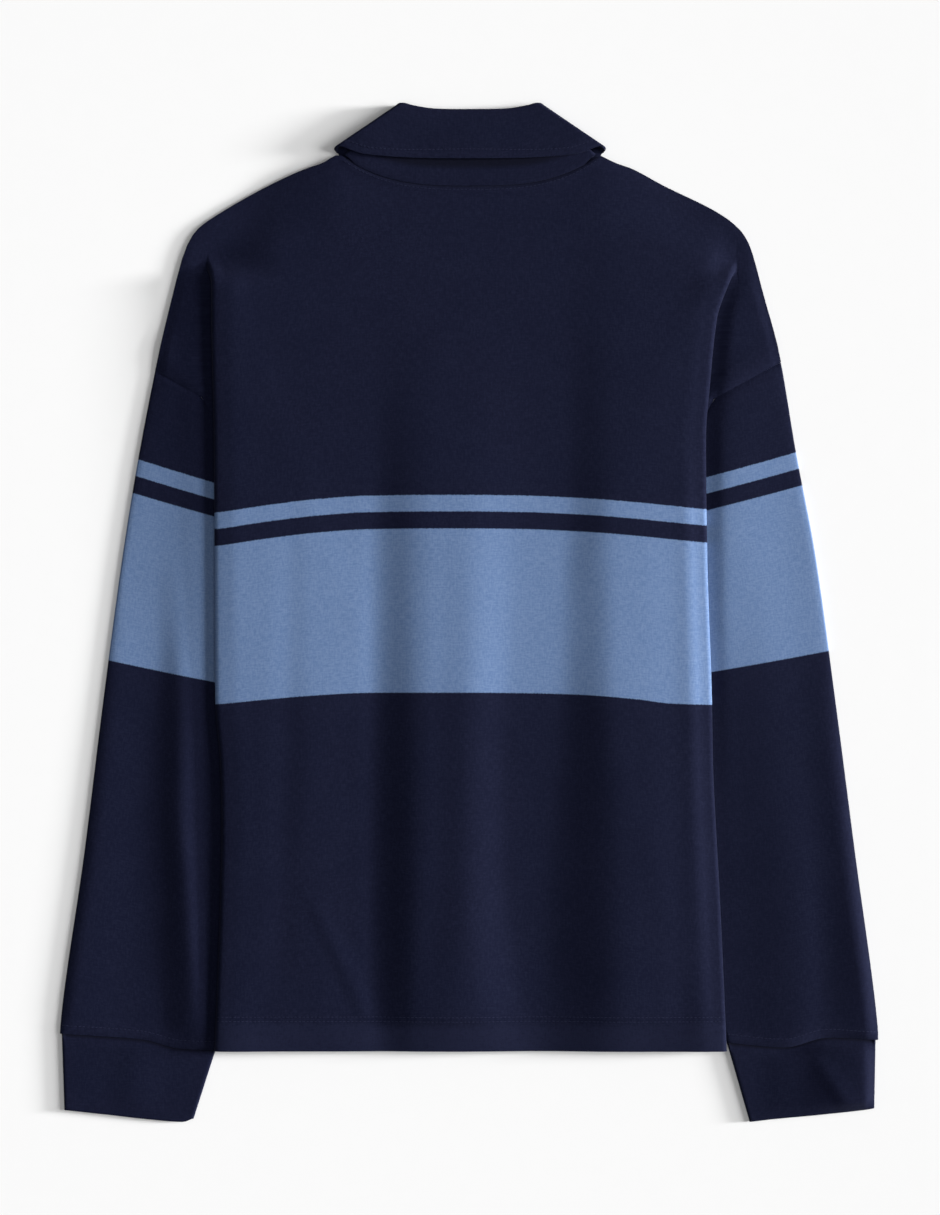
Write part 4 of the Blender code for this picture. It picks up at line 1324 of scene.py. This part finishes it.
def makeButton(name, y):
    piece = bpy.data.objects.new(name, buttonMesh(name, y))
    pins = bpy.data.objects.new("pins", holePins(y))
    for each in (piece, pins):
        bpy.context.scene.collection.objects.link(each)
    cut = piece.modifiers.new("holes", "BOOLEAN")
    cut.object, cut.operation, cut.solver = pins, "DIFFERENCE", "EXACT"
    depsgraph = bpy.context.evaluated_depsgraph_get()
    mesh = bpy.data.meshes.new_from_object(piece.evaluated_get(depsgraph), depsgraph=depsgraph)
    mesh.name = name
    piece.modifiers.clear()
    piece.data = mesh
    bpy.data.objects.remove(pins)
    mesh.materials.clear()
    mesh.materials.append(plastic)
    mesh.polygons.foreach_set("use_smooth", [True] * len(mesh.polygons))
    mesh.set_sharp_from_angle(angle=math.radians(35))
    return piece


# Thread through the four holes, crossed on the side that shows
def buttonThread(y):
    d = button["holeAt"] * math.sqrt(0.5)
    z = (button["lift"] + button["dish"] - 0.12) * mm
    lines = []
    for shift in button["threadShifts"]:
        for sign in (1, -1):
            a = Vector(((-d + shift) * mm, (y - sign * d - sign * shift) * mm, z))
            b = Vector(((d + shift) * mm, (y + sign * d - sign * shift) * mm, z))
            lines.append([a, b])
    return lines


buttonPieces = []
buttonLines = []
for i in range(button["count"]):
    y = button["topY"] - i * button["spacing"]
    buttonPieces.append(makeButton(f"shirt_button_{i + 1}", y))
    buttonLines += buttonThread(y)
buttonStitches = addStitches(
    "button_threads", buttonLines, length=1.1, spacing=0.75, width=0.32
)

half, foot = placket["overHalf"] - placket["stitchInset"], placket["overFoot"]
low, high, top = foot + placket["boxLow"], foot + placket["boxHigh"], placket["stitchTop"]
box = [
    ((-half, top), (-half, low)), ((half, top), (half, low)), ((-half, low), (half, low)),
    ((-half, high), (half, high)), ((-half, low), (half, high)), ((-half, high), (half, low)),
]
placketStitches = addStitches(
    "placket_stitches",
    [onCloth(overPiece, pathBetween(a, b, 50), -1, placket["stitchLift"]) for a, b in box],
    length=2.1, spacing=2.6,
)
print("stage: buttons and placket are made")


# Every piece rides on the one body and stands for one of the part's solids or none, and that solid is
# hidden
def dress(piece, node):
    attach(piece, "root")
    if node:
        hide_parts(node)


studio = {
    "floorHalf": 20.0,  # in metres
    "floorTone": 0.86,
    "turn": math.radians(4),  # both suns stand at the right, a little towards the collar
    "lowHeight": math.radians(10),  # grazes the cloth and shows its folds
    "lowSoftness": math.radians(9),
    "lowPower": 6.2,
    "keyHeight": math.radians(28),
    "keySoftness": math.radians(28),
    "keyPower": 2.9,
    "fillPower": 32.0,
    "worldTone": 0.10,
}
floorMesh = bpy.data.meshes.new("floor")
h = studio["floorHalf"]
floorMesh.from_pydata([(-h, -h, 0), (h, -h, 0), (h, h, 0), (-h, h, 0)], [], [(0, 1, 2, 3)])
floor = bpy.data.objects.new("floor", floorMesh)
bpy.context.scene.collection.objects.link(floor)


def floorLook(n):
    grain = n.noise(n.add("ShaderNodeTexCoord").outputs["Object"], 60, 2.0)
    tone = studio["floorTone"]
    return {
        "Base Color": n.mixColour(grain, (tone, tone, tone), (tone + 0.01,) * 3),
        "Roughness": 0.9,
        "Specular IOR Level": 0.1,
    }


floorMesh.materials.append(newMaterial("pale floor", floorLook))

dress(backPiece, "back")
dress(frontPiece, "front")
for side in sides:
    dress(sleevePieces[side], f"sleeve_{side}")
    dress(cuffPieces[side], f"cuff_{side}")
    dress(sleeveStitches[side], None)
dress(standPiece, "collar_stand")
dress(leafPiece, "collar_leaf")
dress(underPiece, "placket_under")
dress(overPiece, "placket_over")
for each in (backStitches, frontStitches, placketStitches):
    dress(each, None)
dress(leafStitches, None)
for i, each in enumerate(buttonPieces):
    dress(each, f"button_{i + 1}")
dress(buttonStitches, None)

# A wide low light from the right, as the photo's shadows show, and a soft even one from above
scene = bpy.context.scene


def addLight(name, kind, place, aim, size, power):
    data = bpy.data.lights.new(name, kind)
    data.energy = power
    if kind == "SUN":
        data.angle = size
    else:
        data.shape, data.size = "SQUARE", size
    light = bpy.data.objects.new(name, data)
    light.location = place
    light.rotation_euler = (Vector(aim) - Vector(place)).to_track_quat("-Z", "Y").to_euler()
    scene.collection.objects.link(light)


for name in ("low", "key"):
    up, turn = studio[f"{name}Height"], studio["turn"]
    away = (math.cos(up) * math.cos(turn), math.cos(up) * math.sin(turn), math.sin(up))
    place = tuple(3 * v for v in away)
    addLight(name, "SUN", place, (0, 0, 0), studio[f"{name}Softness"], studio[f"{name}Power"])
addLight("fill", "AREA", (0, 0, 3.4), (0, 0, 0), 2.4, studio["fillPower"])
world = bpy.data.worlds.new("studio")
world.use_nodes = True
tone = studio["worldTone"]
world.node_tree.nodes["Background"].inputs["Color"].default_value = (tone, tone, tone, 1)
scene.world = world
scene.view_settings.view_transform = "Standard"

# Straight down, framed as the photo: 940 pixels are 724.7 mm and 1215 are 936.8 mm
view = {"height": 3.0, "middleY": 0.0042, "seen": 0.9368, "sensor": 24.0}
cameraData = bpy.data.cameras.new("camera")
cameraData.sensor_fit = "VERTICAL"
cameraData.sensor_height = view["sensor"]
cameraData.lens = view["sensor"] * view["height"] / view["seen"]
camera = bpy.data.objects.new("camera", cameraData)
camera.location = (0, view["middleY"], view["height"])
scene.collection.objects.link(camera)
scene.camera = camera
print("stage: light and camera are set")
